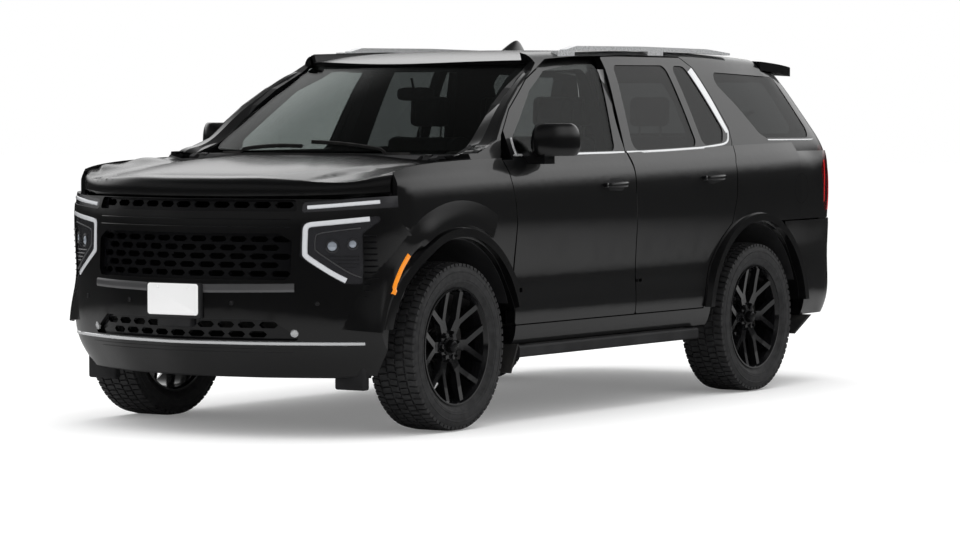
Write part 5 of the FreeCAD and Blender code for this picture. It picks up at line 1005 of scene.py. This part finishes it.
def laid(pad, spot, tilt):
    """A copy of a pad, tilted up about X and moved to a spot."""
    copy = pad.copy()
    copy.data = pad.data.copy()
    bpy.context.scene.collection.objects.link(copy)
    copy.data.transform(Matrix.Translation(spot) @ Matrix.Rotation(tilt, 4, "X"))
    return copy


def post(spot, way, radius, length):
    """A round steel post with softened ends."""
    profile = [(0.0004, 0), (radius * 0.8, 0), (radius, radius * 0.3), (radius, length - radius * 0.3),
               (radius * 0.8, length), (0.0004, length)]
    return turned("post", profile, spot, way, 16)


lean = math.atan2(0.130, 0.530)
rest_pad = soft_pad("rest", (0.262, 0.182, 0.098), 0.006, 0.006, 1, 0.0, (0.0,))
seat_low, seat_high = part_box("front_seats")
single_cushion = soft_pad("cushion", (0.548, 0.512, 0.148), 0.008, 0.012)
single_back = soft_pad("back", (0.548, 0.545, 0.142), 0.008, 0.012)
bench_cushion = soft_pad("bench_cushion", (1.284, 0.512, 0.148), 0.012, 0.012, 3, 0.008)
bench_back = soft_pad("bench_back", (1.284, 0.545, 0.142), 0.012, 0.012, 3, 0.008)


def seat_row(name, node, centres, cushion, back, stretch, rests):
    """A row of seats in place of a CAD node."""
    low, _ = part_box(node)
    soft = []
    hard = []
    steel = []
    for centre in centres:
        floor_spot = Vector((centre, low.y, low.z))
        for source, spot, tilt in ((cushion, (0, 0.260, 0.265), 0.0),
                                   (back, (0, 0.575, 0.548), math.pi / 2 - lean)):
            copy = laid(source, (0, 0, 0), 0.0)
            for vertex in copy.data.vertices:
                vertex.co.x *= stretch
            copy.data.transform(Matrix.Translation(floor_spot + Vector(spot)) @ Matrix.Rotation(tilt, 4, "X"))
            soft.append(copy)
        half = 0.28 * stretch if len(centres) > 1 else 0.65 * stretch
        base = bevelled("base", (half * 1.56, 0.440, 0.180), floor_spot + Vector((0, 0.298, 0.092)), 0.020, 3)
        hard.append(base)
        shell_size = (half * 1.86, 0.030, 0.470)
        shell_piece = bevelled("shell", shell_size, (0, 0, 0), 0.013, 3)
        shell_piece.data.transform(Matrix.Translation(floor_spot + Vector((0, 0.640, 0.520)))
                                   @ Matrix.Rotation(-lean * 0.72, 4, "X"))
        hard.append(shell_piece)
        for offset in rests:
            at = floor_spot + Vector((offset * stretch, 0.624, 0.937))
            soft.append(laid(rest_pad, at, math.pi / 2 - lean * 0.3))
            for spread in (-0.0675, 0.0675):
                steel.append(post(at + Vector((spread, 0, -0.150)), (0, 0.12, 1), 0.0062, 0.10))
    covers = settle(joined(name + "_covers", soft), "body", black_leather, 60)
    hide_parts(node)
    settle(joined(name + "_valances", hard), "body", black_plastic)
    settle(joined(name + "_posts", steel), "body", chrome)


seat_row("front_seat", "front_seats", (-0.4, 0.4), single_cushion, single_back, 1.0, (0,))
seat_row("middle_seat", "middle_seat", (0,), bench_cushion, bench_back, 1.0, (-0.50, 0, 0.50))
seat_row("rear_seat", "rear_seat", (0,), bench_cushion, bench_back, 0.85, (-0.47, 0, 0.47))
for spare in (rest_pad, single_cushion, single_back, bench_cushion, bench_back):
    bpy.data.objects.remove(spare)

# Rear-view mirror: a black plastic case on a short stalk, hung behind the windshield's top edge.
# The case is a shallow shell with softened corners.
mirror_case = []
for depth, grow in ((0.0, 0.80), (0.006, 0.96), (0.020, 1.0), (0.032, 0.86), (0.036, 0.60)):
    mirror_case.append([Vector((0.118 * grow * across, -depth, 0.036 * grow * up)) for across, up in rounded(28, 0.5)])
view_mirror = ringed("view_mirror", mirror_case)
view_mirror.data.transform(Matrix.Translation((0, -0.545, 1.665)))
stalk = post((0, -0.575, 1.670), (0, -0.35, 0.95), 0.007, 0.085)
settle(joined("inner_mirror", [view_mirror, stalk]), "body", black_plastic)

# Tail lamps: a red light guide down each dark lens, a clear reversing window and a red side band.
# Moulded covers held by the quarter panel.
guide_red, root = new_material("guide_red")
finish(root, Base_Color=noise(root, 60.0).tint((0.42, 0.008, 0.010), (0.62, 0.020, 0.022)), Roughness=0.14,
       Coat_Weight=1.0, Emission_Color=(1.0, 0.02, 0.02, 1), Emission_Strength=0.10)
down = curved([(0.922, 1.300), (0.934, 1.200), (0.940, 1.100), (0.944, 1.000)])
pair(moulding("guide", ["tail_lamps"], down, 0.014, 0.004, side="rear"), "tail_guide", "body", guide_red)
side_band = curved([(2.262, 1.290), (2.264, 1.230), (2.268, 1.120), (2.272, 1.020)])
pair(moulding("band", ["tail_lamps"], side_band, 0.012, 0.003), "tail_band", "body", guide_red)
pair(moulding("lens", ["tail_lamps"], level(0.902, 0.008, 5, 1.050), 0.040, 0.003, side="rear"), "reversing_lens",
     "body", plate_white)

# Liftgate fittings: a blank plate under a bright grip bar, the wiper and the high brake lamp.
# All are fixed to the gate and lift with it.
rear_spot, _ = standing(["liftgate"], 0, 0.985, "rear")
settle(blank_plate("rear_plate", (0, rear_spot.y + 0.009, 0.985), 1), "liftgate", plate_white)
back_pad = bevelled("rear_plate_bed", (0.345, 0.014, 0.185), (0, rear_spot.y, 0.985), 0.006, 3)
settle(back_pad, "liftgate", black_plastic)
settle(moulding("gate_grip", ["liftgate"], level(-0.330, 0.033, 21, 1.108), 0.026, 0.012, side="rear"), "liftgate",
       chrome)
wiper_low = [(0.02 + 0.022 * step, 1.462 + 0.006 * step) for step in range(19)]
blade = moulding("rear_wiper", ["liftgate_glass"], wiper_low, lambda t: 0.022 - 0.012 * t, 0.016, side="rear", lanes=4)
settle(blade, "liftgate", black_rubber)
settle(moulding("high_brake_lamp", ["liftgate"], level(-0.170, 0.017, 21, 1.838), 0.014, 0.003, side="rear",
                lanes=4), "liftgate", guide_red)

# Rear bumper: a red reflector at each end and four parking sensors.
# They are moulded plastic, pushed into the bumper's skin.
pair(moulding("reflector", ["rear_bumper"], level(0.700, 0.011, 11, 0.560), 0.030, 0.004, side="rear", lanes=4),
     "rear_reflector", "body", guide_red)
rear_discs = []
for x, z in ((0.280, 0.720), (0.640, 0.710)):
    spot, facing = standing(["rear_bumper"], x, z, "rear")
    rear_discs.append(turned("disc", [(0.0004, -0.004), (0.0004, 0.0015), (0.0085, 0.0012), (0.0095, 0.0002),
                                      (0.0110, 0.0016), (0.0122, -0.001), (0.0122, -0.004)], spot, facing, 28))
pair(joined("sensors", rear_discs), "rear_sensors", "body", sensor_grey)

# Windshield wipers: two rubber blades that taper to both ends.
# They are parked on the glass just above the cowl.
arms = []
for pivot_x, tip_x in ((0.560, -0.020), (-0.060, -0.640)):
    lane = []
    for step in range(19):
        t = step / 18
        x = pivot_x + (tip_x - pivot_x) * t
        lane.append((x, -1.515 + 0.150 * abs(x) ** 1.6 + 0.030 * t))
    arms.append(moulding("blade", ["windshield", "cowl"], lane, lambda t: 0.016 - 0.006 * abs(2 * t - 1), 0.014,
                         side="top", lanes=4))
settle(joined("wipers", arms), "body", black_rubber)

# Running boards: four raised rubber ribs along the tread of each board.
# The ribs are moulded onto the board's top.
low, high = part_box("running_boards")
treads = []
for lane in range(4):
    x = high.x - 0.036 - 0.026 * lane
    row = [(x, low.y + 0.10 + (high.y - low.y - 0.20) * step / 30) for step in range(31)]
    treads.append(moulding("tread", ["running_boards"], row, 0.012, 0.0035, side="top", lanes=3))
pair(joined("treads", treads), "board_tread", "body", black_rubber)
